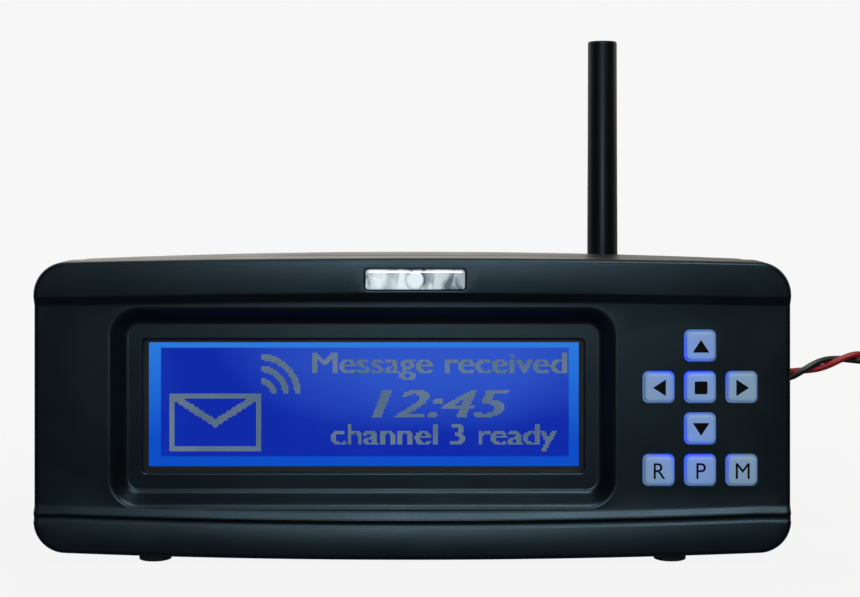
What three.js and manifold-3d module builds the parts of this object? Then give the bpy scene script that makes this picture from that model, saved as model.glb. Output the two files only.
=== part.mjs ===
// A desk-top paging data terminal with a graphic display, eight lit keys, a tilting antenna at
// the back and a two-wire power lead. Millimetres, +X to the viewer's right, +Y away from the
// viewer, +Z up. The origin is on the resting surface, below the middle of the terminal.
import * as THREE from "three";
import { mergeVertices } from "three/addons/utils/BufferGeometryUtils.js";
import Module from "manifold-3d";

const wasm = await Module();
wasm.setup();

// ---- Driving dimensions --------------------------------------------------------------------

// Every pair of pieces that touch on the real terminal keeps this much room here.
const gap = 0.3;

// Case
const caseWidth = 232;
const caseHeight = 92.4; // at the middle, where both long edges are crowned outwards
const caseDepth = 45;
const bezelDepth = 16;
const caseWall = 2.5;
const faceWall = 2.2;
const topCrown = 1.2;
const bottomCrown = 2.1;
const rearTopCrown = 2.2;
const rearInset = 0;
const cornerRadius = 10;
const edgeRadius = 1.5;
const footHeight = 1.5; // clearance under the middle of the case

// Relief of the front
const topBand = 10.4;
const bottomBand = 9.6; // up to the groove
const sinkDepth = 1.6;
const sinkSlope = 2.4;
const grooveDepth = 0.6;
const grooveWidth = 2.6;

// Display
const displayX = -15.2;
const displayRise = 0.2; // of its middle above the middle of the case
const rimWidth = 155.8;
const rimHeight = 61.8;
const rimRadius = 8;
const recessSlope = 5.2;
const recessDepth = 4.5;
const ledgeWall = 2.2;
const openingWidth = 136.4;
const openingHeight = 41.3;
const openingRadius = 1.3;
const viewWidth = 133.9;
const viewHeight = 38.7;
const windowLap = 3.5;
const windowThickness = 1.5;
const frameBorder = 9;
const frameSheet = 1;
const glassThickness = 2.2;
const backlightThickness = 3;
const boardThickness = 1.6;
const displayBoardOverhang = 5;

// Keys
const keyPitch = 12.7;
const keyBoardClear = 2.6; // between the display's board and the keypad's board
const keyBoardMargin = 1.35; // of the keypad's board round the key flanges
const keyRowRise = 6.5; // of the cross's middle row above the display's middle
const keySize = 9.2;
const keyRadius = 1.5;
const keyStandsProud = 2.2; // above the sunk face
const keyFlange = 1.1;
const keyFlangeThickness = 1.2;
const keyStem = 3;
const keyStemLength = 1;
const keyTravel = 1;
const switchBody = 6;
const switchHeight = 2.7;
const switchButtonRadius = 1.6;
const switchButtonHeight = 0.6;
const keyLightSize = 3.2;

// Indicator
const indicatorX = 0.9;
const indicatorBelowTop = 6.6;
const indicatorWidth = 30.4;
const indicatorHeight = 6;
const indicatorRadius = 0.9;
const indicatorFlange = 1.3;
const indicatorSunk = 0.2;
const ledRadius = 2.5;

// Main board and what stands on its back
const boardSideRoom = 18; // to each side of the case
const boardEdgeRoom = 6.2; // above and below
const mainBoardFront = 24;
const boardScrewInset = 6;
const receiverCan = { x: 34, z: 62, width: 40, height: 28, depth: 5 };
const processor = { x: -20, z: 52, width: 20, height: 20, depth: 1.6 };
const regulator = { x: 84, z: 30, width: 10, height: 9, depth: 4 };
const regulatorTab = { x: 84, z: 34, width: 10, height: 16, front: 3.4, depth: 1.2 };
const buzzer = { x: -62, z: 62, radius: 6, depth: 6.5, mouth: 1.5, lip: 1 };

// Fasteners
const screwRadius = 1.5;
const screwHeadRadius = 2.8;
const screwHeadHeight = 1.7;
const caseScrewInset = 9;
const caseScrewBite = 9; // into the front half's posts
const caseScrewSunk = 0.6; // of its head below the back
const boardScrewBite = 7.4;
const postRadius = 3.4;

// Antenna
const antennaX = 64;
const antennaAboveFloor = 56.5;
const jackRadius = 3.2;
const jackReach = 6.5; // of the thread, out of the back of the case
const nutThickness = 2.2;
const nutRadius = 5.4;
const couplerRadius = 5.6;
const couplerWall = 1.5;
const pivotFromCase = 17;
const knuckleRadius = 4.7;
const knuckleWidth = 4;
const tineThickness = 2.2;
const pinRadius = 1.2;
const whipBaseRadius = 5.1;
const whipTipRadius = 4.9;
const antennaTop = 164.5; // above the resting surface
const radiatorRadius = 0.8;
const radiatorShort = 9; // from its end to the tip of the sleeve

// Power lead
const leadRadius = 2.1;
const grommetAboveFloor = 53.5;
const grommetY = 30;
const grommetFlangeRadius = 5;
const grommetFlange = 1.6;
const grommetNose = 3;
const coilFromCase = 70;
const coilY = 22;
const coilRadius = 23; // at the middle of the turns
const coilLayers = 3;
const tieWidth = 5;
const tieThickness = 0.8;
const tailLength = 30; // from where the last turn lets go to the plug
const plugWidth = 8;
const plugHeight = 6;
const plugLength = 15;

// Feet
const footInset = 36;
const footRadius = 5;
const footFrontY = 10.6;
const footFromBack = 7;

// ---- Worked-out places ---------------------------------------------------------------------

const caseBottom = footHeight;
const caseTop = caseBottom + caseHeight;
const caseSide = caseWidth / 2;
const displayZ = caseBottom + caseHeight / 2 + displayRise;
const keyZ = displayZ + keyRowRise;
const indicatorZ = caseTop - indicatorBelowTop;
const antennaZ = caseBottom + antennaAboveFloor;
const grommetZ = caseBottom + grommetAboveFloor;

const ledgeY = sinkDepth + recessDepth;
const ledgeBackY = ledgeY + ledgeWall;
const ledgeWidth = rimWidth - 2 * recessSlope;
const ledgeHeight = rimHeight - 2 * recessSlope;
const faceBackY = sinkDepth + faceWall;
const seamY = bezelDepth;
const shellFrontY = seamY + gap;
const shellBackWallY = caseDepth - caseWall;

// Display stack, from the window back to the board
const windowFrontY = ledgeBackY + gap;
const frameFrontY = windowFrontY + windowThickness + gap;
const frameWidth = viewWidth + 2 * frameBorder;
const frameHeight = viewHeight + 1.4 * frameBorder;
const glassY = frameFrontY + frameSheet + gap;
const backlightY = glassY + glassThickness + gap;
const frameBackY = backlightY + backlightThickness;
const displayBoardY = frameBackY + gap;
const glassWidth = frameWidth - 2 * (frameSheet + gap);
const glassHeight = frameHeight - 2 * (frameSheet + gap);
const displayBoardWidth = frameWidth + 2 * displayBoardOverhang;
const displayBoardHeight = frameHeight + displayBoardOverhang;
const stakeX = displayBoardWidth / 2 - 2.5;
const stakeZ = displayBoardHeight / 2 - 2.5;

// Key stack, from the cap back to the board
const keyFrontY = sinkDepth - keyStandsProud;
const keyFlangeY = faceBackY + gap;
const keyStemY = keyFlangeY + keyFlangeThickness;
const keyBackY = keyStemY + keyStemLength;
const switchButtonY = keyBackY + keyTravel + gap;
const switchBodyY = switchButtonY + switchButtonHeight;
const keyBoardY = switchBodyY + switchHeight + gap;
const keyBoardWidth = 2 * keyPitch + keySize + 2 * (keyFlange + keyBoardMargin);
const keyBoardHeight = 3 * keyPitch + keySize + 2 * (keyFlange + keyBoardMargin);
const keyX = displayX + displayBoardWidth / 2 + keyBoardClear + keyBoardWidth / 2;
const keyNames = ["up", "left", "centre", "right", "down", "r", "p", "m"];
const keyColumns = [0, -1, 0, 1, 0, -1, 0, 1];
const keyRows = [1, 0, 0, 0, -1, -2, -2, -2];
const keyPlaces = keyNames.map((name, i) => ({
  name,
  x: keyX + keyColumns[i] * keyPitch,
  z: keyZ + keyRows[i] * keyPitch,
}));
const keyBoardZ = keyZ - keyPitch / 2;

const mainBoardBack = mainBoardFront + boardThickness;
const mainBoardWidth = caseWidth - 2 * boardSideRoom;
const mainBoardHeight = caseHeight - 2 * boardEdgeRoom;
const mainBoardZ = caseBottom + caseHeight / 2;
const boardScrewX = mainBoardWidth / 2 - boardScrewInset;
const boardScrewZ = mainBoardHeight / 2 - boardScrewInset;
const caseScrewX = caseSide - caseScrewInset;
const caseScrewLowZ = caseBottom + bottomCrown + caseScrewInset;
const caseScrewHighZ = caseTop - rearTopCrown - caseScrewInset;
const caseScrewHeadY = caseDepth - caseScrewSunk - screwHeadHeight;
const counterboreY = caseScrewHeadY - gap;

const pivotY = caseDepth + pivotFromCase;
const nutY = caseDepth + gap;
const couplerY = nutY + nutThickness + gap;
const couplerBackY = caseDepth + jackReach + gap + couplerWall;
const tineX = knuckleWidth / 2 + gap;
const whipBottomZ = antennaZ + knuckleRadius + 1;
const antennaBackY = pivotY + whipBaseRadius;

const coilSection = coilLayers * leadRadius; // from the middle of the turns to their outside
const coilBottomZ = tieThickness + 2 * gap;
const coilTopZ = coilBottomZ + 2 * coilSection;
const grommetWallX = caseSide - rearInset;
const grommetNeckRadius = leadRadius + gap + 1.2;
const grommetEndX = grommetWallX + gap + grommetFlange + grommetNose;

// The lead's way from inside the grommet to the coil: out of the side, up a little, over, down
// to the surface and on to the outer turn of the coil.
const coilX = caseSide + coilFromCase;
const leadEndZ = coilBottomZ + leadRadius;
const coilOuterRadius = coilRadius + coilSection;
const leadTurnRadius = coilOuterRadius - leadRadius;
const leadMeetsCoil = Math.sqrt((coilOuterRadius + gap + leadRadius) ** 2 - leadTurnRadius ** 2);
const leadRoute = [
  [grommetWallX - caseWall, grommetY, grommetZ],
  [grommetEndX, grommetY, grommetZ],
  [caseSide + 8.5, 30, 56],
  [caseSide + 13.5, 30, 57.6],
  [caseSide + 18.5, 29.9, 59.2],
  [caseSide + 23.5, 29.7, 60.3],
  [caseSide + 28.5, 29.3, 60.4],
  [caseSide + 33, 28.7, 58.8],
  [caseSide + 36.2, 27.6, 55.4],
  [caseSide + 38, 26, 50],
  [caseSide + 38.9, 23.6, 42],
  [caseSide + 39.3, 20.6, 33],
  [caseSide + 39.3, 16.8, 24],
  [caseSide + 39.1, 12.2, 15.8],
  [caseSide + 39.2, 7.4, 9.4],
  [caseSide + 40.4, 2.6, 5.4],
  [caseSide + 43.2, -1.6, leadEndZ + 0.5],
  [caseSide + 47.6, -4.4, leadEndZ],
  [coilX - leadMeetsCoil, coilY - leadTurnRadius, leadEndZ],
];

// ---- Shape helpers -------------------------------------------------------------------------

// A closed three.js geometry as a solid that can be joined and cut.
function solid(geometry) {
  const bare = geometry.index ? geometry.toNonIndexed() : geometry.clone();
  bare.deleteAttribute("normal");
  bare.deleteAttribute("uv");
  const merged = mergeVertices(bare, 1e-4);
  return new wasm.Manifold(
    new wasm.Mesh({
      numProp: 3,
      vertProperties: merged.attributes.position.array,
      triVerts: new Uint32Array(merged.index.array),
    }),
  );
}

// A solid back as a three.js geometry.
function geometryOf(made) {
  const mesh = made.getMesh();
  const geometry = new THREE.BufferGeometry();
  geometry.setAttribute("position", new THREE.BufferAttribute(mesh.vertProperties, 3));
  geometry.setIndex(new THREE.BufferAttribute(mesh.triVerts, 1));
  geometry.computeVertexNormals();
  return geometry;
}

function join(...solids) {
  return solids.reduce((whole, next) => whole.add(next));
}

function cut(base, ...tools) {
  return tools.reduce((left, tool) => left.subtract(tool), base);
}

// A block between two corners.
function block([x0, y0, z0], [x1, y1, z1]) {
  const box = new THREE.BoxGeometry(x1 - x0, y1 - y0, z1 - z0);
  return solid(box.translate((x0 + x1) / 2, (y0 + y1) / 2, (z0 + z1) / 2));
}

// A block of width and height about a point of the front, from one depth to another.
function slab(x, z, width, height, yFront, yBack) {
  return block([x - width / 2, yFront, z - height / 2], [x + width / 2, yBack, z + height / 2]);
}

// A turned piece: profile is a list of [radius, distance along the axis].
function turned(profile, axis, [x, y, z], sides = 20) {
  const points = profile.map(([radius, along]) => new THREE.Vector2(radius, along));
  const lathe = new THREE.LatheGeometry(points, sides);
  if (axis === "x") lathe.rotateZ(-Math.PI / 2);
  if (axis === "z") lathe.rotateX(Math.PI / 2);
  return solid(lathe.translate(x, y, z));
}

// A plain rod along an axis through a point, between two distances from that point.
function rod(axis, radius, place, from, to, sides = 20) {
  return turned([[0, from], [radius, from], [radius, to], [0, to]], axis, place, sides);
}

// A rounded rectangle as a shape in the front's plane.
function roundedRectangle(x, z, width, height, radius) {
  const [a, b] = [width / 2 - radius, height / 2 - radius];
  const quarter = Math.PI / 2;
  const shape = new THREE.Shape();
  shape.absarc(x + a, z + b, radius, 0, quarter, false);
  shape.absarc(x - a, z + b, radius, quarter, 2 * quarter, false);
  shape.absarc(x - a, z - b, radius, 2 * quarter, 3 * quarter, false);
  shape.absarc(x + a, z - b, radius, 3 * quarter, 4 * quarter, false);
  shape.closePath();
  return shape;
}

// The case's outline, crowned along its long edges, drawn in by inset.
function caseOutline(inset, crown) {
  const radius = cornerRadius - inset;
  const side = caseWidth / 2 - inset - radius;
  const low = caseBottom + bottomCrown + inset;
  const high = caseTop - crown - inset;
  const quarter = Math.PI / 2;
  const shape = new THREE.Shape();
  shape.moveTo(-side, low);
  shape.quadraticCurveTo(0, low - 2 * bottomCrown, side, low);
  shape.absarc(side, low + radius, radius, 3 * quarter, 4 * quarter, false);
  shape.absarc(side, high - radius, radius, 0, quarter, false);
  shape.quadraticCurveTo(0, high + 2 * crown, -side, high);
  shape.absarc(-side, high - radius, radius, quarter, 2 * quarter, false);
  shape.absarc(-side, low + radius, radius, 2 * quarter, 3 * quarter, false);
  shape.closePath();
  return shape;
}

// A band right across the front between two bowed edges. Each edge is its height at the middle
// and how much higher it is at the case's corners.
function crossBand(lowMiddle, lowRise, highMiddle, highRise) {
  const reach = caseWidth / 2 + 20;
  const stretch = (reach / (caseWidth / 2 - cornerRadius)) ** 2;
  const [lowEnd, highEnd] = [lowRise * stretch, highRise * stretch];
  const shape = new THREE.Shape();
  shape.moveTo(-reach, lowMiddle + lowEnd);
  shape.quadraticCurveTo(0, lowMiddle - lowEnd, reach, lowMiddle + lowEnd);
  shape.lineTo(reach, highMiddle + highEnd);
  shape.quadraticCurveTo(0, highMiddle - highEnd, -reach, highMiddle + highEnd);
  shape.closePath();
  return shape;
}

// A shape in the front's plane, made thick from one depth to another.
function extruded(shape, yFront, yBack, curveSegments = 5, bevel = {}) {
  const options = { depth: yBack - yFront, curveSegments, bevelEnabled: false, ...bevel };
  const made = new THREE.ExtrudeGeometry(shape, options).rotateX(Math.PI / 2);
  return solid(made.translate(0, yBack, 0));
}

// A cutter whose wall slopes in from its mouth, in front of the face, down to the shape.
function slopedCutter(shape, mouthY, floorY, slope, segments = 1) {
  const depth = floorY - mouthY;
  const front = mouthY - 4 * depth;
  return extruded(shape, front, mouthY, 5, {
    bevelEnabled: true,
    bevelThickness: depth,
    bevelSize: slope,
    bevelOffset: 0,
    bevelSegments: segments,
  });
}

// A case half's outer form, with its outer edge rounded off at the front or at the back.
function roundedBody(outline, yFront, yBack, roundFront) {
  const spare = 3 * edgeRadius;
  const front = roundFront ? yFront + edgeRadius : yFront - spare;
  const back = roundFront ? yBack + spare : yBack - edgeRadius;
  const body = extruded(outline, front, back, 8, {
    bevelEnabled: true,
    bevelThickness: edgeRadius,
    bevelSize: edgeRadius,
    bevelOffset: -edgeRadius,
    bevelSegments: 2,
  });
  const wide = caseWidth;
  return body.intersect(block([-wide, yFront, -wide], [wide, yBack, wide]));
}

// A round-section tube along points.
function tube(points, radius, steps, sides = 8) {
  const section = new THREE.Shape();
  for (let i = 0; i < sides; i += 1) {
    const turn = (2 * Math.PI * i) / sides;
    if (i === 0) section.moveTo(radius * Math.cos(turn), radius * Math.sin(turn));
    else section.lineTo(radius * Math.cos(turn), radius * Math.sin(turn));
  }
  section.closePath();
  const path = new THREE.CatmullRomCurve3(points.map((p) => new THREE.Vector3(...p)), false, "centripetal");
  return solid(new THREE.ExtrudeGeometry(section, { extrudePath: path, steps }));
}

// ---- Materials -----------------------------------------------------------------------------

function finish(color, roughness, metalness = 0) {
  return () => new THREE.MeshStandardMaterial({ color, roughness, metalness });
}

const blackPlastic = finish(0x15191c, 0.55);
const blackRubber = finish(0x101112, 0.85);
const clearWindow = finish(0xcfd8e0, 0.1);
const blueDisplay = finish(0x1c4fd8, 0.3);
const keyPlastic = finish(0xa9bce8, 0.45);
const diffuser = finish(0xe8eef2, 0.3);
const boardGreen = finish(0x1f6b3a, 0.6);
const componentBlack = finish(0x1b1b1d, 0.5);
const tinnedSteel = finish(0xb9bcc0, 0.35, 1);
const brass = finish(0xb08d4a, 0.35, 1);
const steel = finish(0x8f9296, 0.4, 1);
const ribbonGrey = finish(0xbfc3c6, 0.6);
const copper = finish(0xb87333, 0.4, 1);
const redVinyl = finish(0xc0202a, 0.5);

const terminal = new THREE.Group();
terminal.name = "paging_terminal";

function piece(name, made, material) {
  const mesh = new THREE.Mesh(geometryOf(made), material());
  mesh.name = name;
  terminal.add(mesh);
}

// ---- Case ----------------------------------------------------------------------------------

// The front half: a shallow tray whose face carries the bands, the sunk middle, the display's
// sloping recess, the key holes and the indicator's slot, and whose inside carries the posts.
function frontBezel() {
  const body = roundedBody(caseOutline(0, topCrown), 0, seamY, true);
  const cavity = extruded(caseOutline(caseWall, topCrown), faceBackY, seamY + 1, 6);
  const sinkLow = caseBottom + bottomBand + grooveWidth + sinkSlope;
  const sinkHigh = caseTop - topBand - sinkSlope;
  const sinkFloor = crossBand(sinkLow, bottomCrown, sinkHigh, -topCrown);
  const sink = slopedCutter(sinkFloor, 0, sinkDepth, sinkSlope);
  const grooveLow = caseBottom + bottomBand + grooveWidth / 3;
  const grooveFloor = crossBand(grooveLow, bottomCrown, grooveLow + grooveWidth / 3, bottomCrown);
  const groove = slopedCutter(grooveFloor, 0, grooveDepth, grooveWidth / 3);
  let bezel = cut(body, cavity);
  const bowlWidth = rimWidth + 2 * caseWall;
  const bowlHeight = rimHeight + caseWall;
  bezel = bezel.add(slab(displayX, displayZ, bowlWidth, bowlHeight, faceBackY - 0.5, ledgeBackY));
  bezel = cut(bezel, sink, groove);
  const ledge = roundedRectangle(displayX, displayZ, ledgeWidth, ledgeHeight, rimRadius - recessSlope + 1);
  const opening = roundedRectangle(displayX, displayZ, openingWidth, openingHeight, openingRadius);
  bezel = cut(
    bezel,
    slopedCutter(ledge, sinkDepth, ledgeY, recessSlope),
    extruded(opening, 0, ledgeBackY + 1, 3),
  );
  for (const key of keyPlaces) {
    const size = keySize + 2 * gap;
    const hole = roundedRectangle(key.x, key.z, size, size, keyRadius + gap);
    bezel = cut(bezel, extruded(hole, -1, faceBackY + 1, 3));
  }
  const slotWidth = indicatorWidth + 2 * gap;
  const slotHeight = indicatorHeight + 2 * gap;
  const slot = roundedRectangle(indicatorX, indicatorZ, slotWidth, slotHeight, indicatorRadius + gap);
  bezel = cut(bezel, extruded(slot, -1, faceBackY + 1, 3));
  bezel = join(bezel, ...displayStakes(), ...keyBoardStakes(), ...caseScrewPosts());
  return cut(bezel, ...caseScrewHoles(screwRadius + gap, faceBackY + 1, seamY + 1));
}

// Posts that hold a board against the bezel: a shoulder, a thin neck through the board's hole
// and a flattened head behind it.
function stake(x, z, shoulderY, boardY, shoulderRadius) {
  const neck = 1;
  return turned(
    [
      [0, shoulderY],
      [shoulderRadius, shoulderY],
      [shoulderRadius, boardY - gap],
      [neck, boardY - gap],
      [neck, boardY + boardThickness + gap],
      [2, boardY + boardThickness + gap],
      [2, boardY + boardThickness + gap + 0.8],
      [0, boardY + boardThickness + gap + 0.8],
    ],
    "y",
    [x, 0, z],
    12,
  );
}

function corners(x, z) {
  return [[-x, -z], [x, -z], [x, z], [-x, z]];
}

function displayStakes() {
  return corners(stakeX, stakeZ).map(([x, z]) =>
    stake(displayX + x, displayZ + z, faceBackY - 0.5, displayBoardY, 2),
  );
}

// The keypad board's posts stand between the key columns, clear of every cap's flange.
const keyStakeX = keyPitch;
const keyStakeZ = keyPitch * 1.5;
function keyBoardStakePlaces() {
  return [
    [keyX - keyStakeX, keyBoardZ + keyStakeZ],
    [keyX + keyStakeX, keyBoardZ + keyStakeZ],
    [keyX - keyStakeX, keyZ - keyPitch],
    [keyX + keyStakeX, keyZ - keyPitch],
  ];
}

function keyBoardStakes() {
  return keyBoardStakePlaces().map(([x, z]) => stake(x, z, faceBackY - 0.5, keyBoardY, 2));
}

function caseScrewPlaces() {
  return [-caseScrewX, caseScrewX].flatMap((x) => [[x, caseScrewLowZ], [x, caseScrewHighZ]]);
}

function caseScrewPosts() {
  return caseScrewPlaces().map(([x, z]) =>
    rod("y", postRadius, [x, 0, z], faceBackY - 0.5, seamY, 16),
  );
}

function caseScrewHoles(radius, from, to) {
  return caseScrewPlaces().map(([x, z]) => rod("y", radius, [x, 0, z], from, to, 16));
}

// The rear half: a deep tray with the screw columns, the main board's posts, the antenna's
// hole in its back and the lead's hole in its right side.
function rearShell() {
  const outline = caseOutline(rearInset, rearTopCrown);
  const body = roundedBody(outline, shellFrontY, caseDepth, false);
  const cavity = extruded(caseOutline(rearInset + caseWall, rearTopCrown), seamY, shellBackWallY, 6);
  const columns = caseScrewPlaces().map(([x, z]) =>
    rod("y", screwHeadRadius + gap + 1.2, [x, 0, z], shellFrontY, shellBackWallY + 1, 16),
  );
  const posts = boardScrewPlaces().map(([x, z]) =>
    rod("y", postRadius, [x, 0, z], mainBoardBack + gap, shellBackWallY + 1, 16),
  );
  const shell = join(cut(body, cavity), ...columns, ...posts);
  const pilots = boardScrewPlaces().map(([x, z]) =>
    rod("y", screwRadius + gap, [x, 0, z], mainBoardBack, mainBoardBack + boardScrewBite + 1, 16),
  );
  return cut(
    shell,
    ...caseScrewHoles(screwRadius + gap, seamY, caseDepth + 1),
    ...caseScrewHoles(screwHeadRadius + gap, counterboreY, caseDepth + 1),
    ...pilots,
    rod("y", jackRadius + gap, [antennaX, 0, antennaZ], shellBackWallY - 1, caseDepth + 1),
    rod("x", grommetNeckRadius + gap, [0, grommetY, grommetZ], grommetWallX - 8, grommetWallX + 1),
  );
}

function caseScrews() {
  const tipY = seamY - caseScrewBite;
  const backY = caseScrewHeadY + screwHeadHeight;
  caseScrewPlaces().forEach(([x, z], i) => {
    const head = rod("y", screwHeadRadius, [x, 0, z], caseScrewHeadY, backY, 16);
    const shank = rod("y", screwRadius, [x, 0, z], tipY, caseScrewHeadY + 0.5, 12);
    piece(`case_screw_${i + 1}`, cut(join(head, shank), crossSlot(x, z, backY, -1)), steel);
  });
}

// A cross-shaped driver recess; into is -1 where the head faces back and 1 where it faces front.
function crossSlot(x, z, faceY, into) {
  const deep = faceY + into * 1.1;
  const [low, high] = [Math.min(deep, faceY - into), Math.max(deep, faceY - into)];
  return join(slab(x, z, 3, 0.9, low, high), slab(x, z, 0.9, 3, low, high));
}

// Each rubber foot is trimmed to the crowned underside of the case half it sits under.
function feet() {
  const footX = caseSide - footInset;
  const footRearY = caseDepth - footFromBack;
  const fronts = roundedBody(caseOutline(-gap, topCrown), -gap, seamY, true);
  const rears = extruded(caseOutline(rearInset - gap, rearTopCrown), seamY, caseDepth + gap, 8);
  const places = [
    ["foot_front_left", -footX, footFrontY, fronts],
    ["foot_front_right", footX, footFrontY, fronts],
    ["foot_rear_left", -footX, footRearY, rears],
    ["foot_rear_right", footX, footRearY, rears],
  ];
  for (const [name, x, y, above] of places) {
    const tall = caseBottom + bottomCrown + rearInset + 2;
    const foot = rod("z", footRadius, [x, y, 0], 0, tall, 24);
    piece(name, foot.subtract(above), blackRubber);
  }
}

// ---- Display -------------------------------------------------------------------------------

function display() {
  const windowWidth = openingWidth + 2 * windowLap;
  const windowHeight = openingHeight + 2 * windowLap;
  const windowBack = windowFrontY + windowThickness;
  const window = slab(displayX, displayZ, windowWidth, windowHeight, windowFrontY, windowBack);
  piece("display_window", window, clearWindow);

  const frame = slab(displayX, displayZ, frameWidth, frameHeight, frameFrontY, frameBackY);
  const inner = [frameWidth - 2 * frameSheet, frameHeight - 2 * frameSheet];
  const hollow = slab(displayX, displayZ, ...inner, frameFrontY + frameSheet, frameBackY + 1);
  const view = slab(displayX, displayZ, viewWidth, viewHeight, frameFrontY - 1, frameBackY);
  piece("display_frame", cut(frame, hollow, view), componentBlack);

  const glassBack = glassY + glassThickness;
  piece("display_glass", slab(displayX, displayZ, glassWidth, glassHeight, glassY, glassBack), blueDisplay);
  const backlight = slab(displayX, displayZ, glassWidth, glassHeight, backlightY, frameBackY);
  piece("display_backlight", backlight, diffuser);

  const boardBack = displayBoardY + boardThickness;
  const board = slab(displayX, displayZ, displayBoardWidth, displayBoardHeight, displayBoardY, boardBack);
  const holes = corners(stakeX, stakeZ).map(([x, z]) =>
    rod("y", 1 + gap, [displayX + x, 0, displayZ + z], displayBoardY - 1, boardBack + 1, 12),
  );
  piece("display_board", cut(board, ...holes), boardGreen);
}

// The flat ribbon leaves the back of the display's board, folds down and comes back up the
// front of the main board.
function displayRibbon() {
  const thickness = 0.4;
  const front = displayBoardY + boardThickness + gap;
  const back = mainBoardFront - gap;
  const middle = (front + back) / 2;
  const outer = (back - front) / 2;
  const top = displayZ - 8;
  const fold = displayZ - 16;
  const strip = new THREE.Shape();
  strip.moveTo(front, top);
  strip.lineTo(front, fold);
  strip.absarc(middle, fold, outer, Math.PI, 2 * Math.PI, false);
  strip.lineTo(back, top);
  strip.lineTo(back - thickness, top);
  strip.lineTo(back - thickness, fold);
  strip.absarc(middle, fold, outer - thickness, 2 * Math.PI, Math.PI, true);
  strip.lineTo(front + thickness, top);
  strip.closePath();
  const width = 20;
  const made = new THREE.ExtrudeGeometry(strip, { depth: width, curveSegments: 6, bevelEnabled: false });
  made.applyMatrix4(new THREE.Matrix4().set(0, 0, 1, 0, 1, 0, 0, 0, 0, 1, 0, 0, 0, 0, 0, 1));
  piece("display_ribbon", solid(made.translate(displayX - 40, 0, 0)), ribbonGrey);
}

// ---- Indicator -----------------------------------------------------------------------------

function indicator() {
  const lens = roundedRectangle(indicatorX, indicatorZ, indicatorWidth, indicatorHeight, indicatorRadius);
  const flangeY = faceBackY + gap;
  const front = extruded(lens, indicatorSunk, flangeY + 0.5, 3);
  const flangeWidth = indicatorWidth + 2 * indicatorFlange;
  const flangeHeight = indicatorHeight + indicatorFlange;
  const flange = slab(indicatorX, indicatorZ, flangeWidth, flangeHeight, flangeY, flangeY + 1);
  piece("indicator_lens", join(front, flange), clearWindow);

  const tipY = flangeY + 1 + gap;
  const shoulderY = tipY + ledRadius;
  const baseY = shoulderY + 4;
  const dome = [0, 1, 2, 3, 4].map((i) => {
    const turn = (i * Math.PI) / 8;
    return [ledRadius * Math.sin(turn), shoulderY - ledRadius * Math.cos(turn)];
  });
  const led = turned(
    [...dome, [ledRadius, baseY], [ledRadius + 0.5, baseY], [ledRadius + 0.5, baseY + 1], [0, baseY + 1]],
    "y",
    [indicatorX, 0, indicatorZ],
    16,
  );
  const legs = [-1.27, 1.27].map((x) =>
    slab(indicatorX + x, indicatorZ - 1, 0.6, 0.6, baseY + 0.5, mainBoardFront - gap),
  );
  piece("indicator_led", join(led, ...legs), diffuser);
}

// ---- Keys ----------------------------------------------------------------------------------

// A cap with a softened front edge, a flange that stops it inside the face and a stem that
// presses the switch.
function keyCap(x, z) {
  const bevel = 0.5;
  const outline = roundedRectangle(x, z, keySize, keySize, keyRadius);
  const cap = extruded(outline, keyFrontY + bevel, keyFlangeY + 2, 3, {
    bevelEnabled: true,
    bevelThickness: bevel,
    bevelSize: bevel,
    bevelOffset: -bevel,
    bevelSegments: 1,
  });
  const reach = 20;
  const trimmed = cap.intersect(slab(x, z, reach, reach, keyFrontY - 1, keyFlangeY + 0.4));
  const flange = slab(x, z, keySize + 2 * keyFlange, keySize + 2 * keyFlange, keyFlangeY, keyStemY);
  const stem = slab(x, z, keyStem, keyStem, keyStemY - 0.5, keyBackY);
  return join(trimmed, flange, stem);
}

function keypad() {
  for (const { name, x, z } of keyPlaces) {
    piece(`key_${name}`, keyCap(x, z), keyPlastic);
    const button = rod("y", switchButtonRadius, [x, 0, z], switchButtonY, switchBodyY + 0.5, 12);
    const body = slab(x, z, switchBody, switchBody, switchBodyY, switchBodyY + switchHeight);
    piece(`switch_${name}`, join(body, button), componentBlack);
  }
  const boardBack = keyBoardY + boardThickness;
  const board = slab(keyX, keyBoardZ, keyBoardWidth, keyBoardHeight, keyBoardY, boardBack);
  const holes = keyBoardStakePlaces().map(([x, z]) =>
    rod("y", 1 + gap, [x, 0, z], keyBoardY - 1, boardBack + 1, 12),
  );
  piece("keypad_board", cut(board, ...holes), boardGreen);
  const lightY = keyBoardY - gap;
  const lights = [["upper", keyZ + keyPitch / 2], ["lower", keyZ - 1.5 * keyPitch]];
  for (const [name, z] of lights) {
    const x = keyX - keyPitch / 2;
    piece(`key_light_${name}`, slab(x, z, keyLightSize, keyLightSize, lightY - 1.8, lightY), diffuser);
  }
}

// ---- Main board ----------------------------------------------------------------------------

function boardScrewPlaces() {
  return corners(boardScrewX, boardScrewZ).map(([x, z]) => [x, mainBoardZ + z]);
}

const componentY = mainBoardBack + gap;

// A plain component lying on the back of the main board.
function onBoard({ x, z, width, height, depth, front = 0 }) {
  return slab(x, z, width, height, componentY + front, componentY + front + depth);
}

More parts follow.
